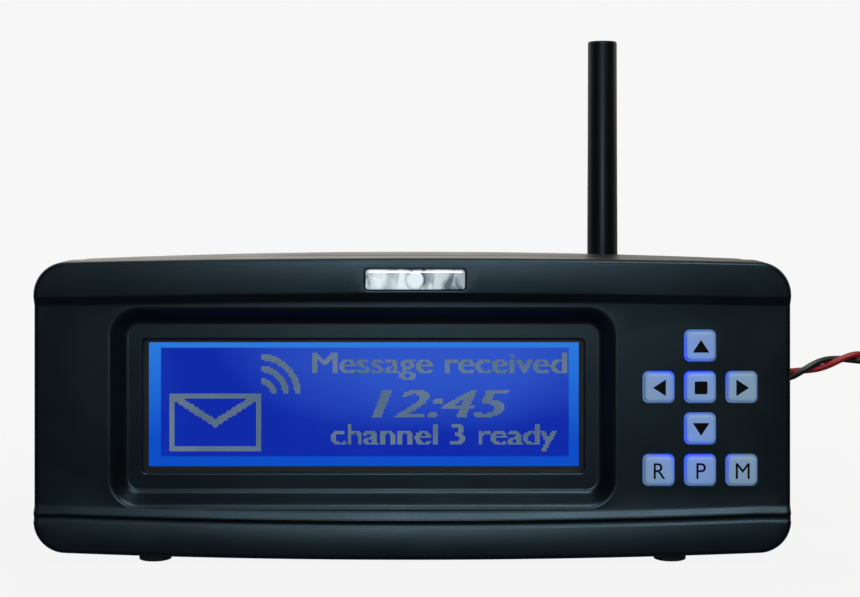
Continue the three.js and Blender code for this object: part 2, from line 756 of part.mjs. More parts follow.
function electronics() {
  const board = slab(0, mainBoardZ, mainBoardWidth, mainBoardHeight, mainBoardFront, mainBoardBack);
  const holes = boardScrewPlaces().map(([x, z]) =>
    rod("y", screwRadius + gap, [x, 0, z], mainBoardFront - 1, mainBoardBack + 1, 16),
  );
  piece("main_board", cut(board, ...holes), boardGreen);

  const headY = mainBoardFront - gap - screwHeadHeight;
  boardScrewPlaces().forEach(([x, z], i) => {
    const head = rod("y", screwHeadRadius, [x, 0, z], headY, headY + screwHeadHeight, 16);
    const shank = rod("y", screwRadius, [x, 0, z], headY + 1, mainBoardBack + boardScrewBite, 12);
    piece(`board_screw_${i + 1}`, cut(join(head, shank), crossSlot(x, z, headY, 1)), steel);
  });

  piece("receiver_can", onBoard(receiverCan), tinnedSteel);
  piece("processor", onBoard(processor), componentBlack);
  piece("voltage_regulator", join(onBoard(regulator), onBoard(regulatorTab)), componentBlack);
  const { x, z, radius, depth, mouth, lip } = buzzer;
  const shell = [[0, 0], [radius, 0], [radius, depth], [mouth, depth]];
  const voice = [...shell, [mouth, depth - lip], [0, depth - lip]];
  piece("buzzer", turned(voice, "y", [x, componentY, z], 20), componentBlack);
}

// ---- Antenna -------------------------------------------------------------------------------

// The threaded jack comes out through the back of the case and the nut clamps it there.
function antennaJack() {
  const flangeY = shellBackWallY - gap;
  const profile = [
    [0, flangeY - 3],
    [2, flangeY - 3],
    [2, flangeY - 1.6],
    [jackRadius + 2, flangeY - 1.6],
    [jackRadius + 2, flangeY],
    [jackRadius, flangeY],
    [jackRadius, caseDepth + jackReach],
    [0, caseDepth + jackReach],
  ];
  piece("antenna_jack", turned(profile, "y", [antennaX, 0, antennaZ], 20), brass);
  const nut = rod("y", nutRadius, [antennaX, 0, antennaZ], nutY, nutY + nutThickness, 6);
  const thread = rod("y", jackRadius + gap, [antennaX, 0, antennaZ], nutY - 1, nutY + nutThickness + 1);
  piece("jack_nut", cut(nut, thread), brass);
}

// The thin coaxial lead from the jack to the receiver's can.
function antennaCoax() {
  const start = shellBackWallY - gap - 3 - gap;
  const endX = receiverCan.x + receiverCan.width / 2 + gap;
  const route = [
    [antennaX, start, antennaZ],
    [antennaX, start - 2.5, antennaZ],
    [antennaX - 2, componentY + 4.5, antennaZ + 1.5],
    [antennaX - 5, componentY + 2.6, antennaZ + 3],
    [endX, componentY + 2.5, antennaZ + 3.5],
  ];
  piece("antenna_coax", tube(route, 0.9, 12), blackRubber);
}

// The coupler turns on the jack and carries the fork that the whip tilts in.
function antennaCoupler() {
  const profile = [
    [jackRadius + gap, couplerY],
    [couplerRadius, couplerY],
    [couplerRadius, couplerBackY],
    [0, couplerBackY],
    [0, couplerBackY - couplerWall],
    [jackRadius + gap, couplerBackY - couplerWall],
    [jackRadius + gap, couplerY],
  ];
  const sleeve = turned(profile, "y", [antennaX, 0, antennaZ], 24);
  const tines = [-1, 1].map((side) => {
    const [near, far] = [side * tineX, side * (tineX + tineThickness)];
    const [low, high] = [Math.min(near, far), Math.max(near, far)];
    const arm = block(
      [antennaX + low, couplerBackY - 0.5, antennaZ - knuckleRadius],
      [antennaX + high, pivotY, antennaZ + knuckleRadius],
    );
    return arm.add(rod("x", knuckleRadius, [antennaX, pivotY, antennaZ], low, high, 20));
  });
  const bore = rod("x", pinRadius + gap, [antennaX, pivotY, antennaZ], -10, 10, 12);
  piece("antenna_coupler", cut(join(sleeve, ...tines), bore), blackPlastic);

  const outside = tineX + tineThickness + gap;
  const headed = [
    [0, -outside - 0.8],
    [pinRadius + 0.8, -outside - 0.8],
    [pinRadius + 0.8, -outside],
    [pinRadius, -outside],
    [pinRadius, outside],
    [pinRadius + 0.8, outside],
    [pinRadius + 0.8, outside + 0.8],
    [0, outside + 0.8],
  ];
  piece("antenna_pin", turned(headed, "x", [antennaX, pivotY, antennaZ], 12), steel);
}

// The whip is a moulded sleeve with a flat knuckle at its foot, over a wire radiator.
function antennaWhip() {
  const profile = [
    [0, whipBottomZ],
    [whipBaseRadius - 0.8, whipBottomZ],
    [whipBaseRadius, whipBottomZ + 0.8],
    [whipTipRadius, antennaTop - 0.8],
    [whipTipRadius - 0.8, antennaTop],
    [0, antennaTop],
  ];
  const sleeve = turned(profile, "z", [antennaX, pivotY, 0], 24);
  const half = knuckleWidth / 2;
  const knuckle = rod("x", knuckleRadius, [antennaX, pivotY, antennaZ], -half, half, 24);
  const neckDepth = 3.6;
  const neck = block(
    [antennaX - half, pivotY - neckDepth, antennaZ],
    [antennaX + half, pivotY + neckDepth, whipBottomZ + 1],
  );
  const pinHole = rod("x", pinRadius + gap, [antennaX, pivotY, antennaZ], -10, 10, 12);
  const radiatorTop = antennaTop - radiatorShort;
  const radiatorBottom = antennaZ + pinRadius + 2 * gap;
  const place = [antennaX, pivotY, 0];
  const bore = rod("z", radiatorRadius + gap, place, antennaZ, radiatorTop + gap, 12);
  piece("antenna_whip", cut(join(sleeve, knuckle, neck), pinHole, bore), blackRubber);
  piece("antenna_radiator", rod("z", radiatorRadius, place, radiatorBottom, radiatorTop, 10), copper);
}

// ---- Power lead ----------------------------------------------------------------------------

// The rubber grommet that the two wires leave the right side through.
function powerGrommet() {
  const bore = leadRadius + gap;
  const innerFaceX = grommetWallX - caseWall - gap;
  const outerFaceX = grommetWallX + gap;
  const profile = [
    [bore, innerFaceX - 1.5],
    [grommetFlangeRadius, innerFaceX - 1.5],
    [grommetFlangeRadius, innerFaceX],
    [grommetNeckRadius, innerFaceX],
    [grommetNeckRadius, outerFaceX],
    [grommetFlangeRadius, outerFaceX],
    [grommetFlangeRadius, outerFaceX + grommetFlange],
    [bore + 0.7, grommetEndX],
    [bore, grommetEndX],
    [bore, innerFaceX - 1.5],
  ];
  piece("power_grommet", turned(profile, "x", [0, grommetY, grommetZ], 20), blackRubber);
}

function powerLead() {
  piece("power_lead", tube(leadRoute, leadRadius, 34), redVinyl);
  const [inner, outer, corner] = [coilRadius - coilSection, coilOuterRadius, leadRadius];
  const ring = [
    [inner + corner, coilBottomZ],
    [outer - corner, coilBottomZ],
    [outer, coilBottomZ + corner],
    [outer, coilTopZ - corner],
    [outer - corner, coilTopZ],
    [inner + corner, coilTopZ],
    [inner, coilTopZ - corner],
    [inner, coilBottomZ + corner],
    [inner + corner, coilBottomZ],
  ];
  piece("power_coil", turned(ring, "z", [coilX, coilY, 0], 32), redVinyl);

  const tieY = coilY + coilRadius;
  const room = coilSection + gap;
  const low = [coilX - tieWidth / 2, tieY - room, coilBottomZ - gap];
  const high = [coilX + tieWidth / 2, tieY + room, coilTopZ + gap];
  const grow = [0, tieThickness, tieThickness];
  const band = block(low.map((v, i) => v - grow[i]), high.map((v, i) => v + grow[i]));
  const inside = block([low[0] - 1, low[1], low[2]], [high[0] + 1, high[1], high[2]]);
  piece("coil_tie", cut(band, inside), blackPlastic);
}

// The top outer turn runs out along +Y, comes down to the surface and ends in a two-way plug.
function powerPlug() {
  const x = coilX + leadTurnRadius;
  const y = coilY + tailLength;
  const axisZ = gap + plugHeight / 2;
  const drop = coilTopZ - leadRadius - axisZ;
  const leaves = coilY + leadMeetsCoil;
  const stretch = y - gap - leaves;
  const tail = [
    [x, leaves, axisZ + 0.58 * drop],
    [x, leaves + 0.25 * stretch, axisZ + 0.35 * drop],
    [x, leaves + 0.55 * stretch, axisZ + 0.1 * drop],
    [x, leaves + 0.8 * stretch, axisZ],
    [x, y - gap, axisZ],
  ];
  piece("power_tail", tube(tail, leadRadius, 5), redVinyl);

  const low = [x - plugWidth / 2, y, gap];
  const high = [x + plugWidth / 2, y + plugLength, gap + plugHeight];
  const housing = block(low, high);
  const sockets = [-2, 2].map((offset) =>
    block(
      [x + offset - 1.1, y + plugLength - 8, axisZ - 1.1],
      [x + offset + 1.1, y + plugLength + 1, axisZ + 1.1],
    ),
  );
  const latch = block([x - 1.5, y + 5, high[2] - 0.2], [x + 1.5, y + plugLength - 1, high[2] + 1]);
  piece("power_plug", cut(join(housing, latch), ...sockets), diffuser);
}

// ---- Assembly ------------------------------------------------------------------------------

piece("front_bezel", frontBezel(), blackPlastic);
piece("rear_shell", rearShell(), blackPlastic);
caseScrews();
feet();
display();
displayRibbon();
indicator();
keypad();
electronics();
antennaJack();
antennaCoax();
antennaCoupler();
antennaWhip();
powerGrommet();
powerLead();
powerPlug();

// The terminal's depth runs from the key caps to the back of the whip; its middle is at Y = 0.
terminal.position.y = -(keyFrontY + antennaBackY) / 2;

export default terminal;
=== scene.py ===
# %% [markdown]
# # A desk pager, built around its CAD frame
# The pager is a wide black desk terminal: a moulded front bezel and rear shell, a lit blue
# dot display behind a clear window, eight soft keys, a glossy indicator strip, a whip
# antenna on a tilting foot and a twisted pair of supply wires. The CAD model gives every
# size and every moving body; this file gives the same pieces their real surfaces.

# %% Load the frame
import math
import bmesh
import bpy
import numpy as np
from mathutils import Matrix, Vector
from mathutils.bvhtree import BVHTree
from mathutils.geometry import delaunay_2d_cdt


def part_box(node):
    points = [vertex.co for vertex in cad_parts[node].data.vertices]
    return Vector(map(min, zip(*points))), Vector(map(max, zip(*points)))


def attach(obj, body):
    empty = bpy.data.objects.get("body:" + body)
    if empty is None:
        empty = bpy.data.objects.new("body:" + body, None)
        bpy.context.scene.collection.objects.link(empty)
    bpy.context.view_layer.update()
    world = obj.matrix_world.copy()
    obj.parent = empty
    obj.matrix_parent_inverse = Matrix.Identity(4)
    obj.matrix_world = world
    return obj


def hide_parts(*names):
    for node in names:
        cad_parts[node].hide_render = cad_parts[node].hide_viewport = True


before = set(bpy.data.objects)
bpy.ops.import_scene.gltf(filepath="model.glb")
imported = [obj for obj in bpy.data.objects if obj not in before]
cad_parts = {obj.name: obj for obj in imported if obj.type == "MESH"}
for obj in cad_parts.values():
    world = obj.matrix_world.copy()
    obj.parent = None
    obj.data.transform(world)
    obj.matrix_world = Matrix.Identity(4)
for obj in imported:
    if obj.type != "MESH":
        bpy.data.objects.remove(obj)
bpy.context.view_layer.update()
bpy.ops.object.select_all(action="DESELECT")

# %% [markdown]
# Every size below is in millimetres, as on the drawing: x to the right, z up from the
# desk, and y backwards from the flat front plane of the bezel's two bands. `place` turns
# such a point into metres in the shared frame.

# %% Millimetres from the front plane
MM = 0.001
FRONT_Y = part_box("front_bezel")[0].y


def place(x, y, z):
    """A drawing point in millimetres as a point in metres."""
    return Vector((x * MM, FRONT_Y + y * MM, z * MM))


print("front plane at y =", round(FRONT_Y / MM, 2), "mm")

# %% [markdown]
# ## Camera
# The pager is seen straight from the front, from a little above its top edge and about
# 55 cm away. A 75 mm lens at that distance gives the mild perspective that shows a thin
# strip of the case's top. The camera is held level, so that upright edges stay upright,
# and the lens is shifted down to bring the pager into the frame.

# %% The camera
VIEW_FROM = place(5, -550, 121)
VIEW_TO = place(5.4, 0, 121)
LENS_LENGTH = 75.4
LENS_SHIFT = -0.15
camera_data = bpy.data.cameras.new("camera")
camera_data.lens = LENS_LENGTH
camera_data.sensor_width = 36
camera_data.shift_y = LENS_SHIFT
camera_data.clip_start = 0.01
camera = bpy.data.objects.new("camera", camera_data)
camera.location = VIEW_FROM
camera.rotation_euler = (VIEW_TO - VIEW_FROM).to_track_quat("-Z", "Y").to_euler()
bpy.context.scene.collection.objects.link(camera)
bpy.context.scene.camera = camera
bpy.context.scene.view_settings.view_transform = "Standard"
print("camera to front plane:", round((VIEW_TO - VIEW_FROM).length / MM), "mm")

# %% [markdown]
# ## Building helpers
# A finish is a small node tree. `add` makes one node, sets its sockets by name, and links
# the ones that are given another node's output. `mesh_piece` turns lists of points and
# faces into an object at the origin whose normals point outwards.

# %% Node helper
def add(tree, kind, **sockets):
    """A new node; names in capitals set properties, the others set or link sockets."""
    node = tree.nodes.new(kind)
    for key, value in sockets.items():
        if key.isupper():
            setattr(node, key.lower(), value)
            continue
        name = key.replace("_", " ")
        socket = node.inputs[int(name[1:])] if name[1:].isdigit() else node.inputs[name]
        if isinstance(value, bpy.types.NodeSocket):
            tree.links.new(value, socket)
        else:
            socket.default_value = value
    return node


def maths(tree, operation, a, b=0.0):
    return add(tree, "ShaderNodeMath", OPERATION=operation, i0=a, i1=b).outputs[0]


def mix_colour(tree, factor, a, b):
    """Colour a where factor is 0, colour b where it is 1."""
    node = add(tree, "ShaderNodeMix", DATA_TYPE="RGBA", i0=factor, i6=a, i7=b)
    return node.outputs[2]


def remap(tree, value, low, high, to_low=0.0, to_high=1.0):
    node = add(tree, "ShaderNodeMapRange", i0=value, i1=low, i2=high, i3=to_low, i4=to_high)
    return node.outputs[0]


def object_place(tree):
    return add(tree, "ShaderNodeTexCoord").outputs["Object"]


def grey(value, tint=(1, 1, 1)):
    return tuple(value * t for t in tint) + (1.0,)


# %% Material helper
def new_finish(name, slot):
    """An empty material with a Principled shader; slot is the record's finish name."""
    mat = bpy.data.materials.new(name)
    mat.use_nodes = True
    tree = mat.node_tree
    tree.nodes.clear()
    shader = add(tree, "ShaderNodeBsdfPrincipled")
    output = add(tree, "ShaderNodeOutputMaterial")
    tree.links.new(shader.outputs[0], output.inputs["Surface"])
    finishes[name] = (mat, slot)
    return mat, tree, shader


def moulded(name, slot, dark, light, rough, grain=0.35, bump=0.12, blotch=14.0, metal=0.0):
    """A moulded, cast or rolled surface: fine grain in the bump, slow blotches in the
    colour and the gloss. Grain and blotch are sizes in millimetres."""
    mat, tree, shader = new_finish(name, slot)
    where = object_place(tree)
    slow = add(tree, "ShaderNodeTexNoise", Vector=where, Scale=1 / (blotch * MM), Detail=4.0)
    fine = add(tree, "ShaderNodeTexNoise", Vector=where, Scale=1 / (grain * MM), Detail=2.0)
    shade = add(tree, "ShaderNodeMix", i0=0.35, i2=slow.outputs[0], i3=fine.outputs[0])
    spread = remap(tree, shade.outputs[0], 0.35, 0.65)
    tree.links.new(mix_colour(tree, spread, dark, light), shader.inputs["Base Color"])
    gloss = remap(tree, slow.outputs[0], 0.3, 0.7, rough[0], rough[1])
    tree.links.new(gloss, shader.inputs["Roughness"])
    relief = add(tree, "ShaderNodeBump", Strength=bump, Distance=0.1 * MM, Height=fine.outputs[0])
    tree.links.new(relief.outputs[0], shader.inputs["Normal"])
    shader.inputs["Metallic"].default_value = metal
    return mat, tree, shader


finishes = {}
print("helpers ready")

# %% Mesh helpers
def mesh_piece(name, points, faces, finish, smooth_angle=40.0, outward=True):
    """Points are in metres. Finish is a finish name, or a list with one per face."""
    mesh = bpy.data.meshes.new(name)
    mesh.from_pydata([tuple(p) for p in points], [], faces)
    piece = bpy.data.objects.new(name, mesh)
    bpy.context.scene.collection.objects.link(piece)
    names = [finish] if isinstance(finish, str) else sorted(set(finish))
    for n in names:
        mesh.materials.append(finishes[n][0])
    if not isinstance(finish, str):
        mesh.polygons.foreach_set("material_index", [names.index(n) for n in finish])
    return tidy_mesh(piece, smooth_angle, outward)


def tidy_mesh(piece, smooth_angle=40.0, outward=True):
    form = bmesh.new()
    form.from_mesh(piece.data)
    bmesh.ops.remove_doubles(form, verts=form.verts, dist=1e-7)
    unused = [v for v in form.verts if not v.link_faces]
    bmesh.ops.delete(form, geom=unused, context="VERTS")
    if outward:
        bmesh.ops.recalc_face_normals(form, faces=form.faces)
    form.to_mesh(piece.data)
    form.free()
    piece.data.shade_smooth()
    piece.data.set_sharp_from_angle(angle=math.radians(smooth_angle))
    return piece


def loft(loops, close_start=True, close_end=True):
    """Faces that join equal loops of points one after another; the ends are capped."""
    count = len(loops[0])
    points = [p for loop in loops for p in loop]
    faces = []
    for k in range(len(loops) - 1):
        for i in range(count):
            j = (i + 1) % count
            faces.append((k * count + i, k * count + j, (k + 1) * count + j, (k + 1) * count + i))
    if close_start:
        faces.append(tuple(reversed(range(count))))
    if close_end:
        faces.append(tuple((len(loops) - 1) * count + i for i in range(count)))
    return points, faces


def join_parts(parts):
    """One list of points and faces from several (points, faces) parts."""
    points, faces = [], []
    for some_points, some_faces in parts:
        start = len(points)
        points += list(some_points)
        faces += [tuple(start + i for i in face) for face in some_faces]
    return points, faces


# %% Geometry Nodes helper
def node_tree(name, inputs):
    """An empty geometry tree with named inputs: (name, socket type, starting value)."""
    tree = bpy.data.node_groups.new(name, "GeometryNodeTree")
    tree.interface.new_socket("Geometry", in_out="INPUT", socket_type="NodeSocketGeometry")
    for label, kind, value in inputs:
        socket = tree.interface.new_socket(label, in_out="INPUT", socket_type=kind)
        if value is not None:
            socket.default_value = value
    tree.interface.new_socket("Geometry", in_out="OUTPUT", socket_type="NodeSocketGeometry")
    return tree, add(tree, "NodeGroupInput"), add(tree, "NodeGroupOutput")


def finished_tree(tree, source, shape, result):
    """The end of every tree: real geometry in one finish."""
    whole = add(tree, "GeometryNodeRealizeInstances", i0=shape)
    painted = add(tree, "GeometryNodeSetMaterial", i0=whole.outputs[0],
                  Material=source.outputs["Finish"])
    tree.links.new(painted.outputs[0], result.inputs[0])
    return tree


def grown(seed_object, tree, name, **values):
    """Runs the tree on seed_object and keeps the result as a plain mesh in a new object."""
    modifier = seed_object.modifiers.new("grow", "NODES")
    modifier.node_group = tree
    for item in tree.interface.items_tree:
        if item.in_out == "INPUT" and item.name in values:
            modifier[item.identifier] = values[item.name]
    seed_object.update_tag()
    graph = bpy.context.evaluated_depsgraph_get()
    mesh = bpy.data.meshes.new_from_object(seed_object.evaluated_get(graph))
    mesh.name = name
    piece = bpy.data.objects.new(name, mesh)
    bpy.context.scene.collection.objects.link(piece)
    bpy.data.objects.remove(seed_object)
    return piece


def seed_mesh(name, points, edges=()):
    mesh = bpy.data.meshes.new(name)
    mesh.from_pydata([tuple(p) for p in points], list(edges), [])
    seed = bpy.data.objects.new(name, mesh)
    bpy.context.scene.collection.objects.link(seed)
    return seed


print("mesh and node helpers ready")

# %% [markdown]
# ## Supply wires
# A thin red and a thin black stranded wire are twisted together and leave the right side
# through a rubber grommet. They rise a little, arch over and come down to the desk, where
# the spare length lies wound and tied in a small coil, with a two-way nylon plug on the
# end. One centreline carries both: each wire is a tube that winds round it. Geometry
# Nodes turn each winding line into a round tube, because the tube follows a path.

# %% The centreline: down to the desk
WIRE_RADIUS = 1.02
WIRE_CLEARANCE = 1.02
TWIST_PITCH = 26.0
LEAD_POINTS = [
    (113.5, 30, 55), (120.9, 30, 55), (124.5, 30, 56), (129.5, 30, 57.6),
    (134.5, 29.9, 59.2), (139.5, 29.7, 60.3), (144.5, 29.3, 60.4), (149, 28.7, 58.8),
    (152.2, 27.6, 55.4), (154, 26, 50), (154.9, 23.6, 42), (155.3, 20.6, 33),
    (155.3, 16.8, 24), (155.1, 12.2, 15.6), (155.2, 7.4, 8.8), (156.4, 2.6, 4.4),
    (159.2, -1.6, 2.8), (163.6, -4.4, 2.4), (169.7, -5.2, 2.4),
]


def smooth_line(points, step=1.2):
    """A centripetal Catmull-Rom line through the points, about one step between samples."""
    pts = [np.array(p, float) for p in points]
    pts = [2 * pts[0] - pts[1]] + pts + [2 * pts[-1] - pts[-2]]
    line = []
    for a, b, c, d in zip(pts, pts[1:], pts[2:], pts[3:]):
        times = [0.0]
        for p, q in ((a, b), (b, c), (c, d)):
            times.append(times[-1] + max(np.linalg.norm(q - p), 1e-6) ** 0.5)
        t0, t1, t2, t3 = times
        count = max(2, int(np.linalg.norm(c - b) / step))
        for t in np.linspace(t1, t2, count, endpoint=False):
            ab = (t1 - t) / (t1 - t0) * a + (t - t0) / (t1 - t0) * b
            bc = (t2 - t) / (t2 - t1) * b + (t - t1) / (t2 - t1) * c
            cd = (t3 - t) / (t3 - t2) * c + (t - t2) / (t3 - t2) * d
            abc = (t2 - t) / (t2 - t0) * ab + (t - t0) / (t2 - t0) * bc
            bcd = (t3 - t) / (t3 - t1) * bc + (t - t1) / (t3 - t1) * cd
            line.append((t2 - t) / (t2 - t1) * abc + (t - t1) / (t2 - t1) * bcd)
    return line + [pts[-2]]


# %% The centreline: the coil and the tail
COIL_X, COIL_Y = 186.0, 22.0
COIL_RADII = (18.8, 23.0, 27.2)
COIL_HEIGHTS = (2.4, 6.6, 10.8)
SLOTS = [(2, 0), (1, 0), (0, 0), (0, 1), (0, 2), (1, 2), (1, 1), (2, 1), (2, 2)]
EARLIER = [0, 0, 30, 30, 60, 90, 120, 150]
SLIP_BEFORE, SLIP_OVER = 35, 32
TIE_ANGLE = 90.0
TIE_LIFT, TIE_FLAT, TIE_SLOPE = 1.1, 12, 40


def ease(t):
    """A smooth rise from 0 to 1."""
    t = min(max(t, 0.0), 1.0)
    return t * t * (3 - 2 * t)


def coil_point(turned_by):
    """A point of the winding. Each turn lies in its own slot of a three by three stack and
    slips to the next slot a little earlier than the turn below it made room."""
    radius, height = COIL_RADII[SLOTS[0][0]], COIL_HEIGHTS[SLOTS[0][1]]
    for k, early in enumerate(EARLIER):
        moved = ease((turned_by - (360 * (k + 1) - SLIP_BEFORE - early) + SLIP_OVER / 2) / SLIP_OVER)
        here, after = SLOTS[k], SLOTS[k + 1]
        radius += moved * (COIL_RADII[after[0]] - COIL_RADII[here[0]])
        height += moved * (COIL_HEIGHTS[after[1]] - COIL_HEIGHTS[here[1]])
    angle = math.radians(turned_by - 90)
    from_tie = abs((turned_by - 90 - TIE_ANGLE + 180) % 360 - 180)
    height += TIE_LIFT * (1 - ease((from_tie - TIE_FLAT) / TIE_SLOPE))
    x, y = COIL_X + radius * math.cos(angle), COIL_Y + radius * math.sin(angle)
    return np.array([x, y, height])


COIL_SWEEP = 360 * 8 + 90
COIL_STEP = 4
winding = [coil_point(a) for a in range(0, COIL_SWEEP + 1, COIL_STEP)]
TAIL_POINTS = [
    (213.2, 27.6, 10.5), (213.2, 33, 9.2), (213.2, 38.3, 7.3), (213.2, 42.6, 5.4),
    (213.2, 46.8, 3.9), (213.2, 50, 3.3), (213.2, 53.4, 3.3),
]
lead_line = smooth_line(LEAD_POINTS)
tail_line = smooth_line([tuple(winding[-1])] + TAIL_POINTS)
centreline = np.array(smooth_line(lead_line + winding[1:-1] + tail_line, 1.3))
lead_length = float(np.linalg.norm(np.diff(centreline, axis=0), axis=1).sum())
print("supply lead", round(lead_length), "mm long,", len(centreline), "points")

# %% [markdown]
# ## Finishes
# Each finish is named for what it is made of. Moulded plastics share one recipe, because
# spark-eroded tooling leaves the same fine grain on all of them; only the colour, the
# gloss and the grain size change.

# %% Plain finishes
COOL = (0.55, 1.0, 1.3)
case_shader = moulded("case_black", "case_plastic", grey(0.0016, COOL), grey(0.0036, COOL),
                      (0.32, 0.39), grain=0.32, bump=0.22, blotch=22)[2]
case_shader.inputs["Specular Tint"].default_value = (0.62, 1.0, 1.25, 1)
WARM_WHITE = (1, 1, 0.96)
IVORY = (1, 0.96, 0.86)
PALE_IVORY = (1, 0.97, 0.9)
# Name, slot, darker tone, lighter tone, roughness range, grain, bump, blotch, metal.
for row in (
        ("foot_rubber", "rubber", grey(0.010), grey(0.018), (0.7, 0.85), 0.5, 0.25, 3),
        ("grommet_rubber", "rubber", grey(0.012), grey(0.020), (0.5, 0.65), 0.4, 0.2, 2),
        ("frame_steel", "black_frame", grey(0.004), grey(0.008), (0.4, 0.55), 0.2, 0.1, 8),
        ("lamp_diffuser", "diffuser", grey(0.62, WARM_WHITE), grey(0.74), (0.35, 0.5), 0.4, 0.1, 4),
        ("flex_ribbon", "ribbon", (0.5, 0.2, 0.03, 1), (0.62, 0.28, 0.05, 1), (0.3, 0.45), 0.5, 0.1, 3),
        ("tin_plate", "tinned_steel", grey(0.52), grey(0.66), (0.25, 0.42), 0.3, 0.1, 5, 1.0),
        ("epoxy_black", "component_plastic", grey(0.012), grey(0.022), (0.5, 0.65), 0.2, 0.2, 3),
        ("nickel_brass", "brass", (0.5, 0.36, 0.16, 1), (0.66, 0.48, 0.22, 1), (0.24, 0.4),
         0.3, 0.1, 3, 1.0),
        ("screw_steel", "screw_steel", grey(0.2), grey(0.32), (0.3, 0.45), 0.3, 0.15, 2, 1.0),
        ("copper_wire", "copper_wire", (0.6, 0.22, 0.1, 1), (0.75, 0.3, 0.14, 1), (0.25, 0.4),
         0.3, 0.1, 3, 1.0),
        ("red_vinyl", "red_vinyl", (0.36, 0.006, 0.009, 1), (0.48, 0.012, 0.016, 1),
         (0.34, 0.46), 0.4, 0.12, 6),
        ("black_vinyl", "red_vinyl", grey(0.005), grey(0.010), (0.34, 0.46), 0.4, 0.12, 6),
        ("tie_nylon", "black_tie", grey(0.010), grey(0.018), (0.4, 0.5), 0.3, 0.1, 4),
        ("plug_nylon", "plug_nylon", grey(0.6, IVORY), grey(0.7, PALE_IVORY), (0.35, 0.5),
         0.3, 0.1, 4)):
    moulded(*row)
print(len(finishes), "finishes")

# %% [markdown]
# The antenna sleeve is a smooth extruded rubber: satin, with faint lines along its length
# from the die. The noise is stretched along z so that it makes those lines.

# %% Antenna sleeve
WHIP_X, WHIP_Y = 64.0, 62.0
ACROSS, ALONG = 900, 25
COOL_RUBBER = (0.8, 1, 1.2)


def antenna_finish():
    mat, tree, shader = new_finish("antenna_rubber", "antenna_sleeve")
    axis = place(WHIP_X, WHIP_Y, 0)
    centred = add(tree, "ShaderNodeMapping", Vector=object_place(tree))
    centred.inputs["Location"].default_value = (-axis.x * ACROSS, -axis.y * ACROSS, 0)
    centred.inputs["Scale"].default_value = (ACROSS, ACROSS, ALONG)
    lines = add(tree, "ShaderNodeTexNoise", Vector=centred.outputs[0], Scale=1.0, Detail=3.0)
    shade = mix_colour(tree, lines.outputs[0], grey(0.0015, COOL_RUBBER), grey(0.005, COOL_RUBBER))
    tree.links.new(shade, shader.inputs["Base Color"])
    gloss = remap(tree, lines.outputs[0], 0.3, 0.7, 0.34, 0.46)
    tree.links.new(gloss, shader.inputs["Roughness"])
    shader.inputs["Specular Tint"].default_value = (0.7, 1.0, 1.15, 1)
    shader.inputs["Specular IOR Level"].default_value = 0.3
    relief = add(tree, "ShaderNodeBump", Strength=0.08, Distance=0.1 * MM, Height=lines.outputs[0])
    tree.links.new(relief.outputs[0], shader.inputs["Normal"])


antenna_finish()

# %% [markdown]
# Circuit boards are green lacquer over copper. A square cell pattern with thin gaps reads
# as the traces that run below the lacquer; it lies in the board's own plane, x and z.

# %% Circuit board
def board_finish():
    mat, tree, shader = new_finish("board_lacquer", "circuit_board")
    turned_flat = add(tree, "ShaderNodeMapping", Vector=object_place(tree))
    turned_flat.inputs["Scale"].default_value = (420, 60, 420)
    cells = add(tree, "ShaderNodeTexVoronoi", Vector=turned_flat.outputs[0], Scale=1.0,
                DISTANCE="MANHATTAN", FEATURE="F1")
    traces = remap(tree, cells.outputs[0], 0.32, 0.4)
    tone = mix_colour(tree, traces, (0.004, 0.075, 0.028, 1), (0.012, 0.15, 0.06, 1))
    tree.links.new(tone, shader.inputs["Base Color"])
    relief = add(tree, "ShaderNodeBump", Strength=0.2, Distance=0.05 * MM, Height=traces)
    tree.links.new(relief.outputs[0], shader.inputs["Normal"])
    shader.inputs["Roughness"].default_value = 0.3


board_finish()
print("board and antenna finishes ready")

# %% Wires as tubes along winding lines
def tube_tree():
    tree, source, result = node_tree("tube_along_line", [
        ("Radius", "NodeSocketFloat", 0.001), ("Sides", "NodeSocketInt", 10),
        ("Finish", "NodeSocketMaterial", None)])
    line = add(tree, "GeometryNodeMeshToCurve", i0=source.outputs["Geometry"])
    ring = add(tree, "GeometryNodeCurvePrimitiveCircle", Resolution=source.outputs["Sides"],
               Radius=source.outputs["Radius"])
    skin = add(tree, "GeometryNodeCurveToMesh", i0=line.outputs[0])
    tree.links.new(ring.outputs[0], skin.inputs["Profile Curve"])
    skin.inputs["Fill Caps"].default_value = True
    return finished_tree(tree, source, skin.outputs[0], result)


def strand_line(line, start_angle):
    """A line that winds round the centreline at the wires' half spacing."""
    tangent = np.gradient(line, axis=0)
    tangent /= np.linalg.norm(tangent, axis=1)[:, None]
    side = np.array([0.0, 0.0, 1.0])
    points, run = [], 0.0
    for k, point in enumerate(line):
        side = side - tangent[k] * side.dot(tangent[k])
        side /= np.linalg.norm(side)
        if k:
            run += np.linalg.norm(line[k] - line[k - 1])
        angle = start_angle - 2 * math.pi * run / TWIST_PITCH
        other = np.cross(tangent[k], side)
        away = math.cos(angle) * side + math.sin(angle) * other
        points.append(point + WIRE_RADIUS * WIRE_CLEARANCE * away)
    return points


